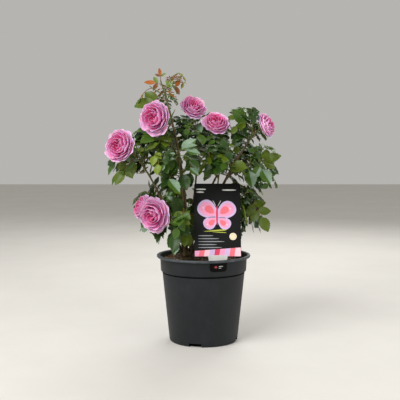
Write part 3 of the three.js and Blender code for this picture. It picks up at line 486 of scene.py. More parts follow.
class Mass:
    """One mass: its stem, twigs and leaves, each kept only where it is free."""

    def __init__(self, limb):
        self.limb, self.curve, self.index, self.shoot = limb, limb["curve"], limb["index"], limb["shoot"]
        self.start = limb["enters"] + CLEARANCE / self.curve.length()
        self.blooms = blooms_of(self.index)
        self.twigs, self.fine_twigs, self.leaves = [], [], []
        self.taken = np.zeros((0, 3))
        self.rods = self.curve.at(mix(self.start, 1, ROD_SHARES))
        self.fine = False
        self.grow()

    def free(self, spots):
        margin, limb, air = LEAF_MARGIN, LIMB_MARGIN, BLOOM["air"]
        if self.fine:
            margin, limb, air = FINE["margin"], FINE["limb"], FINE["bloom_air"]
        if spots[:, 2].min() < LOWEST_LEAF or depth_in_space(self.index, spots).min() <= CELL_MARGIN:
            return False
        if not clear_of_card(spots).all() or not clear_of_blooms(spots, air).all():
            return False
        apart = np.sqrt(((spots[:, None] - LIMB_SPOTS) ** 2).sum(-1)) - LIMB_RADII
        if apart.min() < limb:
            return False
        return nearest(spots, self.taken) > margin

    def spread_free(self, blade):
        spots = blade_samples(blade)
        if (((spots - REACH["centre"]) / REACH["radii"]) ** 2).sum(1).max() >= 1:
            return False
        if self.fine and (shuts_gap(spots) or hides(spots, OPEN_SPOTS, OPEN_WIDTH)):
            return False
        if self.fine and hides(spots, self.shown, SHOWN_WIDTH):
            return False
        margin = FINE["margin"] if self.fine else LEAF_MARGIN
        return self.free(spots) and nearest(spots, self.rods) > margin

    def settle(self, leaf):
        self.leaves.append(leaf)
        spots = [blade_samples(blade) for blade in leaf["blades"]]
        self.taken = np.concatenate([self.taken, *spots, leaf["stalk"].at(STALK_SHARES)])

    def size(self, key):
        return self.shoot.get("young", 1) * (1 + GROWTH["spread"] * (2 * chance(self.index, key, 1) - 1))

    def add_twig(self, twig):
        (self.fine_twigs if self.fine else self.twigs).append(twig)
        self.rods = np.concatenate([self.rods, twig.at(ROD_SHARES)])

    def add_leaf(self, carrier, t, key):
        """One leaf at a share of its carrier, tried in several directions."""
        best, all_blades = None, 2 * GROWTH["pairs"] + 1
        direction = carrier.heading(t)
        droop = LEAF["droop"] * (LEAF["droop_least"] + LEAF["droop_spread"] * chance(self.index, key, 3))
        roll = GROWTH["roll"] * (chance(self.index, key, 4) - 0.5)
        for n in range(GROWTH["tries"]):
            angle = key * GOLDEN + n * GROWTH["step"] + chance(self.index, key, 2)
            radial = turned(side_of(direction, (1, 0, 0)), direction, angle)
            radial = radial + direction * GROWTH["end" if t > GROWTH["end_from"] else "ahead"]
            heading = unit(radial + outward_from(carrier.at(t)) * GROWTH["outward"])
            scale = self.size(key) * (1 - GROWTH["shrink"] * n)
            if self.fine:
                scale *= mix(*FINE["sizes"], chance(self.index, key, 7))
            stalk = stalk_curve(carrier.at(t), heading, LEAF["stalk"] * scale, droop)
            if not self.free(stalk.at(STALK_SHARES)):
                continue
            leaf = leaf_of(stalk, scale, GROWTH["pairs"], roll)
            leaf["blades"] = [blade for blade in leaf["blades"] if self.spread_free(blade)]
            if len(leaf["blades"]) > (len(best["blades"]) if best else GROWTH["fewest"] - 1):
                best = leaf
            if best and len(best["blades"]) == all_blades:
                break
        if best:
            self.settle(best)

    def aim(self, share, tip, scale, pairs, tone):
        """A leaf whose tip ends at a given place."""
        start, tip = self.curve.at(mix(self.start, 1, share)), vector(tip)
        step, length = tip - start, LEAF["leaflet"] * scale
        out, rise = RISING if step[2] > 0 else FALLING
        slack = max(SHORTEST_STALK, 1 - length / np.linalg.norm(step))
        middle = start + step * vector((out, out, rise)) * slack
        light = TO_VIEWER if scale >= BROAD_FROM else None
        leaf = leaf_of(Bow(start, middle, tip - length * unit(tip - middle)), scale, pairs, 0, light)
        leaf["blades"] = [blade for blade in leaf["blades"] if self.free(blade_samples(blade))]
        if leaf["blades"]:
            leaf["tone"] = tone
            self.settle(leaf)

    def branch(self, key, length, shares):
        """A side twig with its leaves, tried in several directions."""
        t = mix(self.start, 1, TWIG["first"] + TWIG["spread"] * chance(self.index, key, 5))
        direction = self.curve.heading(t)
        for n in range(GROWTH["tries"]):
            radial = turned(side_of(direction, (1, 0, 0)), direction, key + n * TWIG["turn"])
            heading = unit(radial + direction * TWIG["lean"])
            twig = stalk_curve(self.curve.at(t), heading, length - TWIG["shorter"] * n, -TWIG["rise"])
            if self.free(twig.at(TWIG_SHARES)):
                break
        else:
            return
        self.add_twig(twig)
        for j, share in enumerate(shares):
            self.add_leaf(twig, share, key + j + 1)

    def grow(self):
        for bloom in self.blooms[1:]:
            start, end = self.curve.at(mix(self.start, 1, TWIG["first"])), hip(bloom)
            self.add_twig(Bow(start, mix(start, end, 0.5) + BLOOM["twig_bow"] * UP, end))
        for aimed in self.shoot.get("aimed", []):
            self.aim(*aimed)
        count = self.shoot["leaves"]
        last = GROWTH["under_bloom"] if self.blooms else GROWTH["last"]
        for k in range(count):
            self.add_leaf(self.curve, mix(self.start, 1, mix(GROWTH["first"], last, k / (count - 1))), k)
        for k in range(self.shoot["twigs"]):
            key = GROWTH["twig_key"] + k * GROWTH["key_step"]
            self.branch(key, TWIG["shortest"] + TWIG["longer"] * chance(self.index, key, 6), TWIG["leaves"])

    def add_extra(self):
        self.fine = True
        for aimed in self.shoot.get("extra", []):
            self.aim(*aimed)

    def fill(self, shown):
        """The finer twigs and leaves between those of the part. None hides the broad leaves already shown."""
        self.shown = shown
        key = FINE["first_key"]
        for k in range(FINE["twigs"]):
            length = mix(*FINE["twig_lengths"], chance(self.index, key + k, 8))
            self.branch(key + GROWTH["key_step"] * k, length, FINE["twig_leaves"])
        carriers = [(self.curve, self.start)]
        carriers += [(twig, FINE["twig_from"]) for twig in self.twigs + self.fine_twigs]
        own = max(self.shoot["leaves"], FINE["fewest"]) * self.shoot.get("young", 1) ** 2
        for k in range(round(FINE["leaves"] * own) + FINE["more"]):
            carrier, first = carriers[k % len(carriers)]
            share = mix(first, GROWTH["end_from"], chance(self.index, key + k, 9))
            self.add_leaf(carrier, share, key + FINE["leaf_key"] + k)


# The pieces of the scene.
def linear(code):
    """A colour code as linear light with full cover."""
    shares = [int(code[i : i + 2], 16) / 255 for i in (0, 2, 4)]
    return [c / 12.92 if c <= 0.04045 else ((c + 0.055) / 1.055) ** 2.4 for c in shares] + [1.0]


def set_inputs(node, inputs):
    for socket, value in inputs.items():
        node.inputs[socket.replace("_", " ")].default_value = value


def plain(name, color, roughness, **inputs):
    material = bpy.data.materials.new(name)
    material.use_nodes = True
    shader = material.node_tree.nodes["Principled BSDF"]
    set_inputs(shader, dict(Base_Color=linear(color), Roughness=roughness, **inputs))
    return material


MOTTLE = dict(low=0.3, high=0.7, detail=6, roughness=0.62)
GRAIN = dict(detail=4, strength=0.8)


def patterned(name, tones, size, roughness, bump, grain, stretch=(1, 1, 1), specular=0.5):
    """A surface mottled between tones at spots of a size in millimetres, with a fine grain of relief."""
    material = plain(name, tones[0], roughness[0], Specular_IOR_Level=specular)
    tree = material.node_tree

    def node(kind, **inputs):
        made = tree.nodes.new("ShaderNode" + kind)
        set_inputs(made, inputs)
        return made

    shader, place, mapping = tree.nodes["Principled BSDF"], node("TexCoord"), node("Mapping", Scale=stretch)
    mottle = node("TexNoise", Scale=1 / (size * MM), Detail=MOTTLE["detail"], Roughness=MOTTLE["roughness"])
    fine = node("TexNoise", Scale=1 / (grain * MM), Detail=GRAIN["detail"])
    worn_and_highlit = node("MapRange", To_Min=roughness[0], To_Max=roughness[1])
    relief = node("Bump", Distance=bump * MM, Strength=GRAIN["strength"])
    ramp = node("ValToRGB")
    stops = ramp.color_ramp.elements
    stops[0].position, stops[1].position = MOTTLE["low"], MOTTLE["high"]
    stops[0].color, stops[1].color = linear(tones[0]), linear(tones[-1])
    for k, tone in enumerate(tones[1:-1]):
        stops.new(mix(MOTTLE["low"], MOTTLE["high"], (k + 1) / (len(tones) - 1))).color = linear(tone)
    for source, output, target, socket in (
        (place, "Object", mapping, "Vector"), (mapping, "Vector", mottle, "Vector"),
        (mapping, "Vector", fine, "Vector"), (mottle, "Fac", ramp, "Fac"), (mottle, "Fac", worn_and_highlit, "Value"),
        (ramp, "Color", shader, "Base Color"), (worn_and_highlit, "Result", shader, "Roughness"),
        (fine, "Fac", relief, "Height"), (relief, "Normal", shader, "Normal"),
    ):
        tree.links.new(source.outputs[output], target.inputs[socket])
    return material


def lathe(profile, segments):
    """A turned shape from a profile of [radius, height] that starts and ends on the axis."""
    inner = vector(profile[1:-1])
    angles = np.arange(segments) * math.tau / segments
    ring = np.stack([np.cos(angles), np.sin(angles), np.ones(segments)], -1)
    spots = (ring[None] * inner[:, [0, 0, 1]][:, None]).reshape(-1, 3)
    spots = np.concatenate([spots, [[0, 0, profile[0][1]], [0, 0, profile[-1][1]]]])
    ring, count = np.arange(segments), segments * len(inner)
    ends = [fan(ring, count, back=True), fan(ring + count - segments, count + 1)]
    return spots, [grid_faces(len(inner), segments, closed=True)] + ends


def plate_blocks(count):
    """The faces of a flat plate with a number of corners: its face, its back and the rim between them."""
    ring = np.arange(count)
    return [ring[None], (ring + count)[None, ::-1], rim_faces(ring, count)]


# The leaflets: a few shapes of one pointed oval blade with teeth, quilted between its side veins.
LEAFLET = dict(
    rows=(17, 11), columns=5, thick=0.3, edge_from=0.9, tooth=0.09, tooth_root=0.4, ahead=0.022,
    fold_full=0.3, fold_bow=0.7, rise=1.15, quilt=0.012, vein=0.5, vein_width=0.1, curl=0.05, wave=0.03,
    waves=1.3, sway=0.05, shapes=6, young=0.66,
)
OUTLINE = (
    (0, 0.06, 0.15, 0.3, 0.42, 0.55, 0.7, 0.82, 0.92, 1),
    (0.02, 0.2, 0.36, 0.47, 0.5, 0.48, 0.39, 0.26, 0.12, 0.01),
)


def leaflet_shape(kind, rows):
    columns = LEAFLET["columns"]
    t, c = np.meshgrid(np.linspace(0, 1, rows), np.linspace(-1, 1, columns), indexing="ij")
    half = np.interp(t, *OUTLINE)
    odd = (np.arange(rows) % 2)[:, None] * np.ones(columns)
    edge = np.abs(c) > LEAFLET["edge_from"]
    inside = (t > 0) & (t < 1)
    vein = np.abs(np.abs(c) - LEAFLET["vein"]) < LEAFLET["vein_width"]
    phase = math.tau * (t * LEAFLET["waves"] + chance(kind, 2, 1))
    tooth = np.where(edge & inside, 1 + LEAFLET["tooth"] * (odd - LEAFLET["tooth_root"]), 1)
    along = t + np.where(edge & inside, LEAFLET["ahead"] * odd, 0)
    middle = -LEAF["fold"] * np.clip(t / LEAFLET["fold_full"], 0, 1) ** LEAFLET["fold_bow"]
    above = middle + LEAF["fold"] * LEAFLET["rise"] * np.abs(c) * half * 2
    above += LEAFLET["quilt"] * (odd - 0.5) * vein * inside
    above += (LEAFLET["curl"] * (chance(kind, 1, 1) - 0.5)) * (t**2 + (c * half * 2) ** 2)
    above += LEAFLET["wave"] * np.sin(phase) * np.abs(c) * half * 2
    across = c * half * tooth + LEAFLET["sway"] * (chance(kind, 3, 1) - 0.5) * t**2
    return np.stack([along, across, above], -1).reshape(-1, 3)


# Broad leaves have the finer of the two sets of shapes.
LEAFLET_SHAPES = [
    [leaflet_shape(kind, rows) for kind in range(LEAFLET["shapes"])] for rows in LEAFLET["rows"]
]
LEAFLET_FACES = [blade_faces(rows, LEAFLET["columns"]) for rows in LEAFLET["rows"]]
# The third green is a pale grey-green painted as a sheen of light on the leaves.
GREENS = [
    # The fourth green, a yellow-green, is partly the leaves' own colour and partly painted light shining
    # through backlit leaves.
    ("leaf_mid", "3b5814"), ("leaf_dark", "25400f"), ("leaf_painted_sheen", "748c74"), ("leaf_lime_and_backlit", "687a1c"),
    ("leaf_olive", "4e6010"), ("leaf_back", "647a3c"),
]
YOUNG = [
    ("young_bronze", "70441e"), ("young_orange", "a05a22"), ("young_lime", "868e3a"),
    ("young_back", "94783a"), ("young_green", "627a30"),
]
LEAF_BACK, YOUNG_BACK = 5, 3
# How those tones are dealt, by number: to the leaves that aren't aimed, and to the leaflets of a young one
# that is.
LEAF_DEAL = (0, 1, 0, 4, 1, 2, 1, 0, 3, 4, 0, 1, 2, 1)
YOUNG_DEAL = (2, 4, 2, 0, 2, 1)
YOUNG_BROAD = (1, 0, 4)
# A painted highlight: the pale third green on one half of a leaflet alone, and the other half's tone.
PAINTED_SHEEN = {2: (2, 0)}  # a tone that shines on one half of a leaflet alone, and the other half's
YOUNG_FROM = 588  # height above which the top shoot's leaves are still bronze
LEAF_PIECES, BLOOM_PIECES = 4, 2


def add_leaflet(piece, blade, kind, detail, tone, back, width=1):
    upper = blade_spots(blade, LEAFLET_SHAPES[detail][kind] * (1, width, 1))
    lower = upper - LEAFLET["thick"] * blade["face"]
    top, under, rim = LEAFLET_FACES[detail]
    # The painted sheen falls on one half of the leaflet.
    halves = np.repeat(PAINTED_SHEEN.get(tone, (tone, tone)), LEAFLET["columns"] // 2)
    rows = LEAFLET["rows"][detail] - 1
    tones = np.concatenate([np.tile(halves, rows), [back] * len(under), [halves[-1]] * len(rim)])
    piece.add(np.concatenate([upper, lower]), (top, under, rim), tones)


LEAF_STALK = (0.95, 0.6)  # radii at its foot and its end
TUBES = dict(stem=(9, 24), twig=(7, 14), fine_twig=(6, 10), stalk=(5, 6))  # sides and rings


def stacked(upper, lower):
    """The spots of two grids in one list."""
    return np.concatenate([upper.reshape(-1, 3), lower.reshape(-1, 3)])


# The blooms: rings of cupped petals, ruffled at the rim and folded closer towards the heart. Lengths are in
# radii of the bloom, and thicknesses in millimetres.
PETAL = dict(
    columns=11, thick=0.35, size=0.95, off_centre=0.1, swirl=0.06, reach_spread=0.17, height_spread=0.09,
    turn_spread=0.25, foot=0.08, foot_reach=0.15, foot_height=-0.48, bend=1.02, bend_heights=(-0.05, -0.28),
    narrowest=0.24,
)
RIM = dict(
    round=0.25, square=2.4, notch=0.12, notch_width=0.3, ragged=0.03, teeth=9, start=0.75, fall=0.7,
    ruffle=0.04, waves=5.5, lift=0.8, lift_waves=8,
)
PETAL_ROWS = (0, 0.22, 0.42, 0.58, 0.7, 0.79, 0.86, 0.91, 0.955, 1)
PETAL_WIDTHS = ((0, 0.3, 0.6, 0.8, 1), (0.3, 0.7, 0.97, 1, 0.92))  # at shares of its length
RINGS = [  # reach, height, petals, half width, roll of the rim
    (1, -0.12, 6, 0.66, 0.05), (0.94, 0.04, 6, 0.62, 0.05), (0.78, 0.2, 6, 0.55, 0.03),
    (0.59, 0.33, 5, 0.48, 0.01), (0.42, 0.38, 5, 0.36, -0.01), (0.26, 0.34, 4, 0.26, -0.02),
    (0.11, 0.27, 3, 0.13, 0),
]
PINKS = [
    ("petal_pale", "eec6e4"), ("petal_light", "ebb0d8"), ("petal_soft", "e890c4"), ("petal_pink", "e46caa"),
    ("petal_warm", "dd4a8e"), ("petal_deep", "cb2a70"), ("petal_heart", "a8124a"),
]
# Steps along the pinks. The paler step at a petal's rim is a painted highlight.
# The order step deepens a mass's second bloom: partly painted shade, partly the bloom's own deeper colour.
TONES = dict(ring=0.74, row=2.2, rim=0.6, rim_from=0.95, spread=0.6, order=0.8, back=0.7)


def petal_face(bloom, ring, turn, luck, s, q):
    """A petal's outer face in the bloom's own frame, at shares along it and across it."""
    reach, height, _, width, roll = RINGS[ring]
    reach *= 1 + PETAL["reach_spread"] * (luck[1] - 0.5)
    height += PETAL["height_spread"] * (luck[2] - 0.5)
    phase = math.tau * luck[4]
    notch = RIM["notch"] * luck[3] * np.exp(-((q / RIM["notch_width"]) ** 2))
    a = s * (1 - RIM["round"] * np.abs(q) ** RIM["square"]) * (1 - notch * s)
    a = a * (1 + RIM["ragged"] * np.sin(RIM["teeth"] * q + phase) * s)
    r = bent(PETAL["foot"] + PETAL["foot_reach"] * reach, PETAL["bend"] * reach, reach, a)
    z = bent(PETAL["foot_height"], mix(*PETAL["bend_heights"], reach), height, a)
    rim = np.clip(a - RIM["start"], 0, 1) / (1 - RIM["start"])
    r = r + roll * rim**2
    z = z - RIM["fall"] * roll * rim**2
    ruffle = RIM["ruffle"] * a**3
    r = r + ruffle * np.sin(RIM["waves"] * q + phase) + PETAL["swirl"] * q * (0.4 + 0.6 * a)
    z = z + RIM["lift"] * ruffle * np.sin(RIM["lift_waves"] * q + 2 * phase)
    angle = turn + q * (width * np.interp(s, *PETAL_WIDTHS)) / np.maximum(r, PETAL["narrowest"])
    off = PETAL["off_centre"] * (1 - reach) * s
    aside = math.tau * chance(bloom["number"], 0, 15)
    x, y = r * np.cos(angle) + off * math.cos(aside), r * np.sin(angle) + off * math.sin(aside)
    return np.stack([x, y, z], -1) * bloom["radius"] * PETAL["size"]


def petal_tones(bloom, ring, luck, s):
    """The tones of a petal's faces: those of its back, which are paler, and those of its front."""
    middle = (s[1:, 1:] + s[:-1, :-1]) / 2
    depth = TONES["row"] * (1 - middle) + TONES["ring"] * ring + TONES["spread"] * (luck[5] - 0.5)
    # A mass's second bloom is deeper: partly painted shade, partly its own colour.
    # A painted highlight: the last rows of a petal are paler.
    depth = depth - TONES["rim"] * (middle > TONES["rim_from"]) + TONES["order"] * bloom["order"]
    return [np.clip(depth * share, 0, len(PINKS) - 1).astype(int).ravel() for share in (TONES["back"], 1)]


def add_petal(piece, bloom, turn, ring, key):
    luck = [chance(bloom["number"] * 40 + ring, key, channel) for channel in range(6)]
    s, q = np.meshgrid(PETAL_ROWS, np.linspace(-1, 1, PETAL["columns"]), indexing="ij")
    outside = petal_face(bloom, ring, turn, luck, s, q)
    normals = np.cross(np.gradient(outside, axis=1), np.gradient(outside, axis=0))
    normals /= np.linalg.norm(normals, axis=-1, keepdims=True) + 1e-9
    local = stacked(outside, outside - PETAL["thick"] * normals)
    faces = blade_faces(*s.shape)
    tones = np.concatenate(petal_tones(bloom, ring, luck, s) + [np.full(len(faces[2]), ring // 3)])
    piece.add(bloom["centre"] + local @ bloom["frame"], faces, tones)


def add_bloom(piece, bloom):
    """A bloom's rings of petals. Its frame's rows are two directions across it and the one it faces."""
    side = side_of(bloom["facing"], (1, 0, 0))
    bloom["frame"] = np.stack([side, np.cross(bloom["facing"], side), bloom["facing"]])
    for ring, (_, _, count, _, _) in enumerate(RINGS):
        first = math.tau * chance(bloom["number"], ring, 6)
        for k in range(count):
            aside = PETAL["turn_spread"] * (chance(bloom["number"], ring * 10 + k, 7) - 0.5)
            add_petal(piece, bloom, first + (k + aside) * math.tau / count, ring, k)


HIP_PROFILE = (
    (0, -0.84), (0.09, -0.82), (0.16, -0.74), (0.18, -0.64), (0.14, -0.54), (0.1, -0.46), (0, -0.45),
)
HIP_SEGMENTS = 12
SEPAL = dict(
    count=5, length=0.52, width=0.11, rows=7, from_radius=0.12, from_height=-0.54, arch=0.05, fall=0.2,
    cup=0.03, thick=0.5,
)
SEPAL_WIDTHS = ((0, 0.3, 0.7, 1), (0.6, 1, 0.5, 0.02))  # at shares of its length


def add_hip(piece, bloom, tone):
    """The green hip behind a bloom and its sepals, folded back."""
    spots, faces = lathe(HIP_PROFILE, HIP_SEGMENTS)
    piece.add(bloom["centre"] + spots * bloom["radius"] @ bloom["frame"], faces, tone)
    t, c = np.meshgrid(np.linspace(0, 1, SEPAL["rows"]), (-1, 0, 1), indexing="ij")
    half = SEPAL["width"] * np.interp(t, *SEPAL_WIDTHS)
    for k in range(SEPAL["count"]):
        turn = k * math.tau / SEPAL["count"] + chance(bloom["number"], k, 8)
        r = SEPAL["from_radius"] + SEPAL["length"] * t * (1 - 0.25 * t)
        z = SEPAL["from_height"] + SEPAL["arch"] * np.sin(t * math.pi)
        z = z - SEPAL["fall"] * t**2 * (0.5 + chance(k, 9, 9)) + SEPAL["cup"] * np.abs(c)
        lower = np.stack([*spun(r, c * half, turn), z], -1) * bloom["radius"]
        local = stacked(lower, lower + (0, 0, SEPAL["thick"]))
        piece.add(bloom["centre"] + local @ bloom["frame"], blade_faces(*t.shape), tone)


# The canes: ridged and jointed, with hooked prickles.
RIDGE = dict(count=5, depth=0.035, wave=0.03, turn=0.5)
JOINT = dict(step=34, swell=0.3, length=2.6, all_round=0.35)
CANE_RINGS = dict(sides=14, step=3, fewest=12)
PRICKLE = dict(
    step=15, scatter=0.6, last=0.98, length=4.6, base=2.6, width=1.3, sides=6, foot=0.9, sunk=0.8,
    waist=0.45, waist_back=0.4, waist_width=0.42, back=1.15, smallest=0.55, spread=0.5,
)


def add_prickle(piece, spot, out, ahead, size, tone):
    """A hooked prickle that points out and a little back."""
    n = PRICKLE["sides"]
    k = np.arange(n)
    angles = k * math.tau / n
    long, wide, high = PRICKLE["base"] * size, PRICKLE["width"] * size, out * PRICKLE["length"]
    ring = np.cos(angles)[:, None] * ahead * long + np.sin(angles)[:, None] * np.cross(out, ahead) * wide
    foot = spot - PRICKLE["sunk"] * out + ring
    waist = spot + high * PRICKLE["waist"] * size - ahead * PRICKLE["waist_back"] * long
    tip = spot + high * size - ahead * PRICKLE["back"] * long
    spots = np.concatenate([foot, waist + ring * PRICKLE["waist_width"], tip[None]])
    after = (k + 1) % n
    sides = np.stack([k + n, after + n, after, k], -1)
    piece.add(spots, [sides, fan(k + n, 2 * n)[:, ::-1], k[None]], tone)


def spine_on(piece, curve, t, radius, index, key, tone):
    """A prickle at a share of a cane or stem."""
    ahead = curve.heading(t)
    out = turned(side_of(ahead, (0, 1, 0)), ahead, key * GOLDEN + index)
    size = PRICKLE["smallest"] + PRICKLE["spread"] * chance(index, key, 12)
    add_prickle(piece, curve.at(t) + out * radius * PRICKLE["foot"], out, ahead, size, tone)


def add_cane(piece, limb, tone, thorn):
    curve, size, index = limb["curve"], limb["size"], limb["index"]
    long = curve.length() * limb["enters"]

    def relief(share, angles):
        ridges = 1 + RIDGE["depth"] * np.sin(RIDGE["count"] * angles + index)
        ridges = ridges + RIDGE["wave"] * math.sin(share * long * RIDGE["turn"] + index)
        joint = share * long / JOINT["step"]
        apart = (joint - round(joint)) * JOINT["step"] / JOINT["length"]
        bud = (1 - JOINT["all_round"]) * np.clip(np.cos(angles - round(joint) * GOLDEN), 0, 1)
        return ridges + JOINT["swell"] * math.exp(-(apart**2)) * (JOINT["all_round"] + bud)

    radii = (size["base"], size["tip"])
    rings = max(CANE_RINGS["fewest"], round(long / CANE_RINGS["step"]))
    tube(piece, curve, (0, limb["enters"]), radii, CANE_RINGS["sides"], rings, tone, relief)
    for k in range(2 if limb["parent"] else 3, int(long / PRICKLE["step"])):
        share = (k + PRICKLE["scatter"] * chance(index, k, 11)) * PRICKLE["step"] / long
        if share < PRICKLE["last"]:
            spine_on(piece, curve, share * limb["enters"], mix(*radii, share), index, k, thorn)


def add_crown(piece, tone):
    """The knob on a flared foot from which the canes rise."""
    c = CROWN
    heights = np.linspace(0, 1, c["rows"])
    flare, dome = mix(c["foot"], c["waist"], 0.75), mix(c["knob"], c["top"], 0.55)
    outline = (c["foot"], flare, c["waist"], c["knob"], dome, c["flat"])
    radii = np.interp(heights, (0, 0.22, 0.42, 0.7, 0.9, 1), outline)
    profile = [(0, 0)] + [(r, h * c["height"]) for r, h in zip(radii, heights)] + [(0, c["height"])]
    spots, faces = lathe(profile, c["segments"])
    turn = np.arctan2(spots[:, 1], spots[:, 0])
    z = spots[:, 2]
    bark = c["bark"] * np.sin(11 * turn + z * 0.5) * np.sin(z * 0.9 + turn)
    lobe = 1 + c["lobe"] * np.sin(3 * turn + z * 0.12) + bark
    share = (z / c["height"])[:, None]
    spots[:, :2] = spots[:, :2] * lobe[:, None] + (c["x"], c["y"]) + share * c["lean"]
    spots[:, 2] += CROWN_FOOT
    piece.add(spots, faces, tone)


WOODY, GREEN, THORN, RED = range(4)  # tones of the twigs
TWIG_COLOURS = (
    ("twig_wood", "55501f", 0.55), ("twig_green", "5a7030", 0.5), ("twig_prickle", "9a5a40", 0.45),
    ("twig_red", "6e4228", 0.5),
)
STEM_PRICKLES = dict(step=20, last=0.95, key=50)


def grown_masses():
    """The masses with their finer growth, which keeps clear of all the broad leaves."""
    masses = [Mass(limb) for limb in LIMBS.values()]
    for mass in masses:
        mass.add_extra()
    aimed = [leaf for mass in masses for leaf in mass.leaves if "tone" in leaf]
    shown = np.concatenate([blade_samples(blade) for leaf in aimed for blade in leaf["blades"]])
    for mass in masses:
        mass.fill(shown)
    return masses


def add_stems(piece, mass):
    """A mass's stem with its prickles, and its twigs."""
    curve, base, long = mass.curve, mass.limb["size"]["tip"], mass.curve.length()
    tube(piece, curve, (mass.limb["enters"] - 0.5 / long, 1), (base, STEM_TIP), *TUBES["stem"], WOODY)
    step, last, inside = STEM_PRICKLES["step"], STEM_PRICKLES["last"], long * (1 - mass.start)
    for k in range(2, int(inside / step)):
        t = min(mix(mass.start, last, k * step / inside), last)
        spine_on(piece, curve, t, mix(base, STEM_TIP, t), mass.index, k + STEM_PRICKLES["key"], THORN)
    for twig in mass.twigs:
        tube(piece, twig, (0, 1), (TWIG["base"], TWIG["tip"]), *TUBES["twig"], WOODY)
    for twig in mass.fine_twigs:
        tube(piece, twig, (0, 1), FINE["radii"], *TUBES["fine_twig"], GREEN)


def shown_blades(leaf):
    """The leaflets of a leaf that hide nothing of what the photo shows. An aimed leaf keeps them all."""
    if "tone" in leaf:
        return leaf["blades"]
    samples = [(blade, blade_samples(blade)) for blade in leaf["blades"]]
    return [
        blade for blade, spots in samples
        if not shuts_gap(spots) and not hides(spots, OPEN_SPOTS, OPEN_WIDTH)
    ]


def add_leaves(leaves, young, twigs, mass):
    """A mass's leaves. The highest go to the young ones."""
    for n, leaf in enumerate(mass.leaves):
        broad = "tone" in leaf
        blades = shown_blades(leaf)
        if not blades:
            continue
        reach = max(blade["t"] for blade in blades)
        tube(twigs, leaf["stalk"], (0, reach), LEAF_STALK, *TUBES["stalk"], RED if n % 3 == 0 else GREEN)
        tone = leaf["tone"] if broad else LEAF_DEAL[int(chance(mass.index, n, 14) * len(LEAF_DEAL))]
        for k, blade in enumerate(blades):
            kind = int(chance(mass.index, n, 13 + blade["t"]) * LEAFLET["shapes"])
            if mass.shoot["name"] == "centre" and blade["base"][2] > YOUNG_FROM:
                bronze = YOUNG_BROAD[k] if broad else YOUNG_DEAL[n % len(YOUNG_DEAL)]
                add_leaflet(young, blade, kind, 1 - broad, bronze, YOUNG_BACK, LEAFLET["young"])
            else:
                add_leaflet(leaves, blade, kind, 1 - broad, tone, LEAF_BACK)


def place_piece(piece, name, materials, nodes, sharp=50):
    made = piece.made(name, materials, sharp)
    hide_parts(*nodes)


def make_bush():
    """The canes, twigs, leaves and blooms as joined pieces, each kind apart."""
    canes, twigs, young = Piece(), Piece(), Piece()
    leaves, petals = [Piece() for _ in range(LEAF_PIECES)], [Piece() for _ in range(BLOOM_PIECES)]
    add_crown(canes, 0)
    for mass in grown_masses():
        add_cane(canes, mass.limb, 0, 1)
        add_stems(twigs, mass)
        add_leaves(leaves[mass.index % LEAF_PIECES], young, twigs, mass)
        for bloom in mass.blooms:
            add_bloom(petals[bloom["index"] % BLOOM_PIECES], bloom)
            add_hip(twigs, bloom, GREEN)
    bark = patterned("bark", ("2c2a14", "453a1c", "5f4a26", "75683a"), 7, (0.5, 0.7), 0.5, 1.2, (1, 1, 0.25))
    prickles = patterned("prickle", ("6a3a28", "8a5a38"), 2, (0.4, 0.5), 0.1, 0.5)
    place_piece(canes, "canes", [bark, prickles], ["crown"] + BOUGHS)
    place_piece(twigs, "twigs", [plain(*colour) for colour in TWIG_COLOURS], MASSES)
    greens = [plain(name, color, 0.42, Specular_IOR_Level=0.32) for name, color in GREENS]
    for k, piece in enumerate(leaves):
        place_piece(piece, f"leaves_{k + 1}", greens, MASSES)
    bronzes = [plain(name, color, 0.42, Specular_IOR_Level=0.3) for name, color in YOUNG]
    place_piece(young, "young_leaves", bronzes, ["mass_centre"])
    soft = dict(Specular_IOR_Level=0.3, Subsurface_Weight=0.3, Subsurface_Scale=0.004)
    pinks = [plain(name, color, 0.6, **soft) for name, color in PINKS]
    for k, piece in enumerate(petals):
        place_piece(piece, f"blooms_{k + 1}", pinks, MASSES)


# The pot, with its drain notches cut, and what lies in it.
def body_radius(z):
    foot, top = POT["foot_round"], POT["height"] - POT["collar_height"]
    return mix(POT["foot"], POT["collar_foot"] - POT["step"] - 0.6, (z - foot) / (top - foot))


def collar_radius(z):
    foot = POT["height"] - POT["collar_height"]
    return mix(POT["collar_foot"], POT["collar_top"], (z - foot) / (POT["collar_height"] - POT["lip_height"]))


# The second tone of the pot is a paler, bluer painted highlight on the lip.
# The third tone of the pot is near black: painted shade in the groove under the collar and inside the drain
# notches.
PLASTIC, PAINTED_HIGHLIGHT, PAINTED_SHADE = range(3)  # tones of the pot
POT_SHARP = 32  # degrees between faces from which an edge of the pot stays sharp


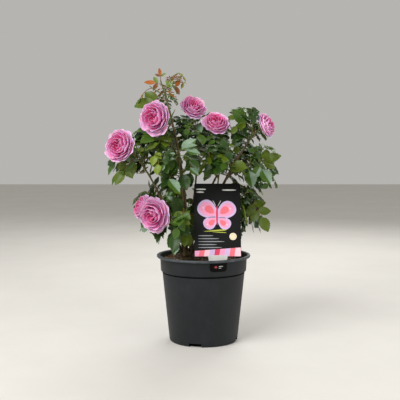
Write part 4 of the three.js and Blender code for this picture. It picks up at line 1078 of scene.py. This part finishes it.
def pot_profile():
    """Radii and heights from the underside's middle round the outside, and down inside to the floor's."""
    rim, height, wall, floor, foot = (POT[key] for key in ("rim", "height", "wall", "floor", "foot"))
    step, under, inner = height - POT["collar_height"], height - POT["lip_height"], rim - POT["lip_width"]
    low = step - POT["step"]
    groove, sunk = low - GROOVE["height"], GROOVE["depth"]
    return [
        (0, 0), (foot - POT["foot_round"], 0), (foot - 1.7, 0.5), (foot - 0.6, 1.6),
        (foot, POT["foot_round"]), (body_radius(groove), groove), (body_radius(groove) - sunk, groove + 0.4),
        (body_radius(low) - sunk, low), (POT["collar_foot"] - 0.5, step - 0.5),
        (POT["collar_foot"], step + 0.6), (collar_radius(under - 1.4), under - 1.4),
        (collar_radius(under) + 1.2, under), (rim - 1.6, under), (rim - 0.5, under + 0.6), (rim, under + 2),
        (rim, height - 2.4), (rim - 0.5, height - 1.2), (rim - 1.6, height - 0.4), (rim - 3.2, height),
        (rim - 5, height - 0.1), (inner + 1.2, height - 0.8), (inner + 0.3, height - 1.8),
        (inner, height - 3), (collar_radius(under) - wall, under - 2), (POT["collar_foot"] - wall, step + 1),
        (body_radius(low) - wall, low - 1), (body_radius(floor + 2) - wall, floor + 2),
        (body_radius(floor) - wall - 2, floor), (0, floor),
    ]


def pot_tones(profile):
    """A tone for each face: for the rings between the profile's corners, then for its two ends."""
    low = POT["height"] - POT["collar_height"] - POT["step"]
    rows = []
    for (radius, z), (_, after) in zip(profile[1:], profile[2:-1]):
        # The groove under the collar takes painted shade.
        shadow_under_collar = radius > body_radius(low) - POT["wall"] / 2 and low - GROOVE["height"] <= z < low
        # The lip's faces take the painted highlight.
        lit_lip = min(z, after) > POT["height"] - POT["lip_height"]
        rows.append(PAINTED_HIGHLIGHT if lit_lip else PAINTED_SHADE if shadow_under_collar else PLASTIC)
    return np.repeat(rows + [PLASTIC, PLASTIC], POT["segments"])


def notch_cutter():
    """The blocks that cut the drain notches, as one object."""
    cutter = bmesh.new()
    size = (NOTCH["width"] * MM, 2 * NOTCH["depth"] * MM, 2 * NOTCH["height"] * MM)
    for k in range(NOTCH["count"]):
        spots = bmesh.ops.create_cube(cutter, size=1)["verts"]
        bmesh.ops.scale(cutter, vec=size, verts=spots)
        bmesh.ops.translate(cutter, vec=(0, -POT["foot"] * MM, 0), verts=spots)
        turn = math.radians(NOTCH["first"] + k * 360 / NOTCH["count"])
        for spot in spots:
            spot.co = (*spun(spot.co.x, spot.co.y, turn), spot.co.z)
    mesh = bpy.data.meshes.new("notches")
    cutter.to_mesh(mesh)
    cutter.free()
    # The notches' inner faces take the near-black painted shade.
    mesh.polygons.foreach_set("material_index", np.full(len(mesh.polygons), PAINTED_SHADE))
    notches = bpy.data.objects.new("notches", mesh)
    bpy.context.scene.collection.objects.link(notches)
    return notches


def make_pot():
    plastic = patterned(
        "pot_plastic", ("101317", "15191d", "1b2025"), 26, (0.48, 0.62), 0.12, 1.1, (1, 1, 0.6), 0.34
    )
    # The lip's paler, bluer tones are a painted highlight.
    worn_and_highlit = patterned("pot_lip_painted_highlight", ("282b2e", "383d42", "4c5258"), 12, (0.42, 0.56), 0.12, 1.1)
    # Near-black painted shade for the groove under the collar and the notches.
    painted_shade = patterned("pot_painted_shade", ("050504", "0a0a08"), 12, (0.8, 0.9), 0.12, 1.1, specular=0.05)
    shell, profile = Piece(), pot_profile()
    shell.add(*lathe(profile, POT["segments"]), pot_tones(profile))
    pot = shell.made("pot_shell", [plastic, worn_and_highlit, painted_shade], POT_SHARP)
    notches = notch_cutter()
    cut = pot.modifiers.new("notches", "BOOLEAN")
    cut.operation, cut.solver, cut.object = "DIFFERENCE", "EXACT", notches
    made = bpy.data.meshes.new_from_object(pot.evaluated_get(bpy.context.evaluated_depsgraph_get()))
    pot.modifiers.clear()
    pot.data = made
    made.set_sharp_from_angle(angle=math.radians(POT_SHARP))
    bpy.data.objects.remove(notches)
    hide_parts("pot")


SOIL = dict(rings=46, segments=150, ripple=1.3, clump=1.5, grain=0.7, dip=2, shoulder=25, depth=60)
SOIL_EDGE = collar_radius(GROUND) - POT["wall"] - CLEARANCE - 0.2
HEAP = dict(x=-58, y=44, high=9.5, wide=62)  # behind the bush's left side
CHIPS = dict(count=520, seed=4, longest=8, shortest=2.2, from_edge=6, from_crown=20, from_card=6, raised=0.3)
CHIP_COLOURS = (
    ("chip_dark", ("2f2016", "4a3220")), ("chip_brown", ("6e4a2a", "946838")),
    ("chip_tan", ("a8845a", "d4b484")), ("chip_grey", ("7c7264", "a89c8a")),
)


def soil_height(x, y):
    heap = HEAP["high"] * math.exp(-((x - HEAP["x"]) ** 2 + (y - HEAP["y"]) ** 2) / HEAP["wide"] ** 2)
    ripple = SOIL["ripple"] * math.sin(x * 0.17 + y * 0.05) * math.cos(y * 0.15 - x * 0.07)
    clumps = SOIL["clump"] * noise.noise((x * 0.11, y * 0.11, 3.7))
    clumps += SOIL["grain"] * noise.noise((x * 0.45, y * 0.45, 9.1))
    return GROUND + heap + ripple + clumps


def make_soil():
    """The uneven bed of compost, which dips towards the pot's wall."""
    radii = SOIL_EDGE * np.linspace(0.015, 1, SOIL["rings"])[::-1]
    low = GROUND - SOIL["depth"]
    foot = body_radius(low) - POT["wall"] - 2
    profile = [(0, low), (foot, low), (foot + 1, GROUND - SOIL["shoulder"])]
    spots, faces = lathe(profile + [(r, GROUND) for r in radii] + [(0, GROUND)], SOIL["segments"])
    for k, (x, y, z) in enumerate(spots):
        if z == GROUND:
            outer = np.clip((math.hypot(x, y) / SOIL_EDGE - 0.9) / 0.1, 0, 1)
            spots[k, 2] = soil_height(x, y) - SOIL["dip"] * outer
    soil = Piece()
    soil.add(spots, faces, 0)
    earth = patterned("compost", ("1c120a", "3a2818", "5e4830", "7e6848"), 4, (0.85, 1), 1.6, 1.4)
    place_piece(soil, "compost_bed", [earth], ["compost"], 80)


def make_chips():
    """Chips of bark strewn over the bed, none by the crown or at the card's foot."""
    chips = Piece()
    draw = np.random.default_rng(CHIPS["seed"])
    block = vector([(i, j, k) for k in (-1, 1) for i, j in ((-1, -1), (1, -1), (1, 1), (-1, 1))])
    faces = np.array([(0, 3, 2, 1), (4, 5, 6, 7), (0, 1, 5, 4), (1, 2, 6, 5), (2, 3, 7, 6), (3, 0, 4, 7)])
    for _ in range(CHIPS["count"]):
        away, turn = (SOIL_EDGE - CHIPS["from_edge"]) * math.sqrt(draw.random()), math.tau * draw.random()
        x, y = away * math.cos(turn), away * math.sin(turn)
        long = mix(CHIPS["shortest"], CHIPS["longest"], draw.random() ** 2)
        half = vector((long / 2, long * mix(0.2, 0.4, draw.random()), mix(0.4, 1, draw.random())))
        corners = block * half * mix(0.6, 1, draw.random((8, 3)))
        slope, heading = 0.7 * (draw.random() - 0.5), math.tau * draw.random()
        tone = int(draw.random() * (len(CHIP_COLOURS) - 0.01))
        by_crown = math.hypot(x - CROWN["x"], y - CROWN["y"]) < CHIPS["from_crown"]
        if by_crown or abs(y - CARD["y"]) < CHIPS["from_card"]:
            continue
        corners = np.array([turned(turned(spot, vector((0, 1, 0)), slope), UP, heading) for spot in corners])
        chips.add(corners + (x, y, soil_height(x, y) + CHIPS["raised"]), [faces], tone)
    materials = [patterned(name, pair, 2, (0.8, 0.95), 0.3, 0.6) for name, pair in CHIP_COLOURS]
    place_piece(chips, "bark_chips", materials, ["compost"], 30)


TAB_INKS = (("tab_pale", "b9b9b6"), ("tab_red", "a8323c"))
TAB_MARKS = (  # middle across and up, length, height, how full the corners are, tone
    (-7, 192, 8, 6, 1, 2), (5, 193.4, 11, 1.7, 8, 1), (3, 189.6, 7, 1.2, 8, 1),
)


def on_tab(across, up, back, out):
    """Places on the tab: across it, up it, and out of its back or its face, which lies that far out."""
    r = collar_radius(up) + back
    angle = across / r + math.radians(TAB["turn"] - 90)
    return np.stack([(r + out) * np.cos(angle), (r + out) * np.sin(angle), up], -1)


def add_tab_mark(piece, x, z, long, high, square, tone):
    """A raised lozenge or bar on the tab."""
    i, c = np.meshgrid((-1, 1), np.linspace(-1, 1, 11), indexing="ij")
    across = x + c * long / 2
    up = z + i * high / 2 * (1.02 - np.abs(c) ** square)
    layers = [on_tab(across, up, CLEARANCE + TAB["thick"], out) for out in (0.12, -0.3)]
    piece.add(stacked(*layers), blade_faces(*i.shape), tone)


def make_tab():
    """The tab that follows the collar under the lip, with three generic marks."""
    t, c = np.meshgrid(np.linspace(0, 1, 13), np.linspace(-1, 1, 41), indexing="ij")
    half, corner, edge = TAB["width"] / 2, TAB["corner"], TAB["edge"]
    x = c * half
    into = np.clip(np.abs(x) - (half - corner), 0, corner)
    foot = TAB["top"] - TAB["height"] + corner - np.sqrt(np.maximum(corner**2 - into**2, 0))
    z = mix(foot, TAB["top"], t)
    inwards = np.clip((1 - np.abs(c)) * half / edge, 0, 1) * np.clip((z - foot) / edge + 0.2, 0, 1)
    out = TAB["thick"] * (0.55 + 0.45 * np.sqrt(np.clip(inwards, 0, 1)))
    tab = Piece()
    tab.add(stacked(on_tab(x, z, CLEARANCE, out), on_tab(x, z, CLEARANCE, 0)), blade_faces(*t.shape), 0)
    for mark in TAB_MARKS:
        add_tab_mark(tab, *mark)
    black = patterned("tab_plastic", ("010101", "030303"), 9, (0.4, 0.5), 0.05, 0.6, specular=0.1)
    inks = [patterned(name, (code, code), 3, (0.4, 0.5), 0.02, 0.6) for name, code in TAB_INKS]
    place_piece(tab, "rim_tab_plate", [black] + inks, ["rim_tab"], 40)


# The label: a dark card with a generic print of raised thin shapes, on a plain stake.
def by_card(x, y, z):
    """A place across, behind and above the card's foot."""
    x, y = spun(x, y, math.radians(CARD["turn"]))
    return vector((x + CARD["x"], y + CARD["y"], z + CARD["foot"]))


def on_card(across, up, out):
    """A place on the card: across it, up it, and out of its face."""
    z, y = spun(up, -(CARD["thick"] / 2 + out), math.radians(CARD["lean"]))
    return by_card(across, y, z)


def add_shape(piece, outline, level, tone, back=0.0):
    """A flat shape on the card's face, its outline drawn anticlockwise."""
    spots = [on_card(x, z, level) for x, z in outline] + [on_card(x, z, -back) for x, z in outline]
    piece.add(spots, plate_blocks(len(outline)), tone)


def rounded(width, height, corner, steps=8):
    """A rounded rectangle's outline whose foot is centred on the origin."""
    spots = []
    half = width / 2
    for x, z, first in ((half, height, 0), (-half, height, 90), (-half, 0, 180), (half, 0, 270)):
        inset_x, inset_z = (x - math.copysign(corner, x)), (z - corner if z else corner)
        for k in range(steps + 1):
            angle = math.radians(first + 90 * k / steps)
            spots.append((inset_x + corner * math.cos(angle), inset_z + corner * math.sin(angle)))
    return spots


def oval(x, z, long, wide, tilt, point=0.0, steps=40):
    """An oval's outline, narrower at its foot by the share "point"."""
    spots = []
    for k in range(steps):
        angle = math.tau * k / steps
        side = wide / 2 * math.sin(angle) * (1 + point * math.cos(angle))
        across, up = spun(long / 2 * math.cos(angle), side, math.radians(tilt))
        spots.append((x + across, z + up))
    return spots


INKS = dict(
    lilac="cfb4dd", pink="f19cc0", salmon="ee6f7c", red="d6385c", pale="dcdcd8", grey="8f9296", lime="aeb53c",
    cream="e9dcb0", rose="f6c6d2",
)
LEVEL = 0.12  # of most of the print above the card
# Ovals: middle across and up the card, length, width, tilt, and how much narrower the foot is.
WINGS = [
    (-22, 112, 52, 40, 140), (20, 110, 50, 38, 38), (-16, 82, 36, 28, 222), (15, 81, 35, 27, -42),
]
BODY = (-1, 98, 46, 5, 90)
FEELERS = [(-7, 128, 16, 1.2, 118), (5, 128, 16, 1.2, 62)]
DASHES = [(-38, 162, 24, 3.4, 0), (-40, 155, 18, 3.4, 0), (28, 160, 34, 3.4, 0)]
GREEN_DASHES = [(-6, 62, 54, 3.2, 4, 0.5), (4, 58, 34, 1.6, -3, 0.4)]
BARS = dict(left=-46, width=2.4, rows=[(56, 22), (44, 29), (62, 36), (50, 43), (36, 50)])  # length, height
MARK = (36, 48)  # middle of the round mark
DISCS = [(17, LEVEL, "cream"), (12.5, 0.18, "lilac"), (10.5, 0.24, "cream")]  # size, level, ink
BAND = dict(height=18, slant=4, foot=1.2, lean=3, margin=1)
BAND_INKS = ("pink", "salmon", "rose", "lilac", "red", "pink", "lilac", "salmon", "rose")


def add_ink(prints, outline, ink, level=LEVEL):
    add_shape(prints, outline, level, list(INKS).index(ink))


def add_wing(prints, x, z, long, wide, tilt):
    """A wing of three layers with a dot beside it."""
    dot = z + math.copysign(5, z - BODY[1] + 2)
    add_ink(prints, oval(x, z, long, wide, tilt, 0.3), "lilac", 0.1)
    add_ink(prints, oval(x, z, long * 0.8, wide * 0.74, tilt, 0.3), "pink", 0.16)
    add_ink(prints, oval(x * 0.82, z, long * 0.46, wide * 0.42, tilt, 0.3), "salmon", 0.22)
    add_ink(prints, oval(x * 1.5, dot, 5, 4, tilt), "rose", 0.22)


def add_band(prints):
    """The strip of slanting patches along the card's foot."""
    step = (CARD["width"] - 2 * BAND["margin"]) / len(BAND_INKS)
    edges = [-CARD["width"] / 2 + BAND["margin"] + k * step for k in range(len(BAND_INKS) + 1)]
    tops = [BAND["height"] - BAND["slant"] + 2 * BAND["slant"] * (x / CARD["width"] + 0.5) for x in edges]
    feet = [edges[0]] + [x - BAND["lean"] for x in edges[1:-1]] + [edges[-1]]
    for k, ink in enumerate(BAND_INKS):
        corners = [(feet[k], BAND["foot"]), (feet[k + 1], BAND["foot"])]
        corners += [(edges[k + 1], tops[k + 1]), (edges[k], tops[k])]
        add_ink(prints, corners, ink)


def make_board():
    board = Piece()
    add_shape(board, rounded(CARD["width"], CARD["height"], CARD["corner"]), 0, 0, CARD["thick"])
    card = patterned("label_card", ("040405", "080809"), 30, (0.4, 0.5), 0.03, 0.8, specular=0.22)
    place_piece(board, "label_board", [card], ["label_card"], 30)


def make_print():
    """A butterfly, dashes, bars, a round mark and the band."""
    prints = Piece()
    for wing in WINGS:
        add_wing(prints, *wing)
    add_ink(prints, oval(*BODY), "red", 0.28)
    for shape in FEELERS + DASHES:
        add_ink(prints, oval(*shape), "pale")
    for shape in GREEN_DASHES:
        add_ink(prints, oval(*shape), "lime")
    for long, z in BARS["rows"]:
        add_ink(prints, oval(BARS["left"] + long / 2, z, long, BARS["width"], 0), "grey")
    for size, level, ink in DISCS:
        add_ink(prints, oval(*MARK, size, size, 0), ink, level)
    add_band(prints)
    inks = [patterned(f"ink_{name}", (code, code), 8, (0.38, 0.46), 0.02, 0.7) for name, code in INKS.items()]
    place_piece(prints, "label_print", inks, ["label_card"], 30)


def make_stake():
    half, tip, low = STAKE["width"] / 2, STAKE["tip_width"] / 2, -STAKE["depth"]
    shoulder = low + STAKE["point"]
    outline = [(half, STAKE["rise"]), (-half, STAKE["rise"]), (-tip, shoulder), (0, low), (tip, shoulder)]
    stake = Piece()
    spots = [by_card(x, side * CARD["thick"] / 2, z) for side in (-1, 1) for x, z in outline]
    stake.add(spots, plate_blocks(len(outline)), 0)
    pale = patterned("label_stake", ("d8d8d2", "e6e6e2"), 14, (0.4, 0.55), 0.05, 1)
    place_piece(stake, "label_stake", [pale], ["label_card"], 30)


# The studio: a pale floor, soft lights and the camera at the photo's angle.
CAMERA = dict(pitch=4.29, lens=66.24, sensor=36)
SKY = dict(Color=linear("edebe6"), Strength=0.55)
LIGHTS = [  # place in metres, size, power
    ((-1.3, -1.5, 1.9), 1.6, 62), ((1.8, -1.2, 1.1), 2, 16), ((0.5, 1.7, 1.7), 1.4, 26),
]
LIT = mathutils.Vector((0, 0, 0.35))  # where the lights point


def make_studio():
    scene = bpy.context.scene
    bpy.ops.mesh.primitive_grid_add(x_subdivisions=8, y_subdivisions=8, size=14)
    floor = bpy.context.object
    floor.name = "floor"
    floor.data.materials.append(patterned("floor", ("cfccc6", "d6d3cd"), 300, (0.7, 0.8), 0.2, 4))
    scene.world = bpy.data.worlds.new("studio")
    scene.world.use_nodes = True
    set_inputs(scene.world.node_tree.nodes["Background"], SKY)
    for k, (place, size, power) in enumerate(LIGHTS):
        data = bpy.data.lights.new(f"light_{k + 1}", "AREA")
        data.size, data.energy = size, power
        light = bpy.data.objects.new(data.name, data)
        light.location = place
        light.rotation_euler = (LIT - light.location).to_track_quat("-Z", "Y").to_euler()
        scene.collection.objects.link(light)
    data = bpy.data.cameras.new("camera")
    data.lens, data.sensor_width = CAMERA["lens"], CAMERA["sensor"]
    camera = bpy.data.objects.new("camera", data)
    camera.location = (VIEWER * MM).tolist()
    camera.rotation_euler = (math.radians(90 - CAMERA["pitch"]), 0, 0)
    scene.collection.objects.link(camera)
    scene.camera = camera
    scene.view_settings.view_transform = "Standard"


make_bush()
make_pot()
make_soil()
make_chips()
make_tab()
make_board()
make_print()
make_stake()
make_studio()
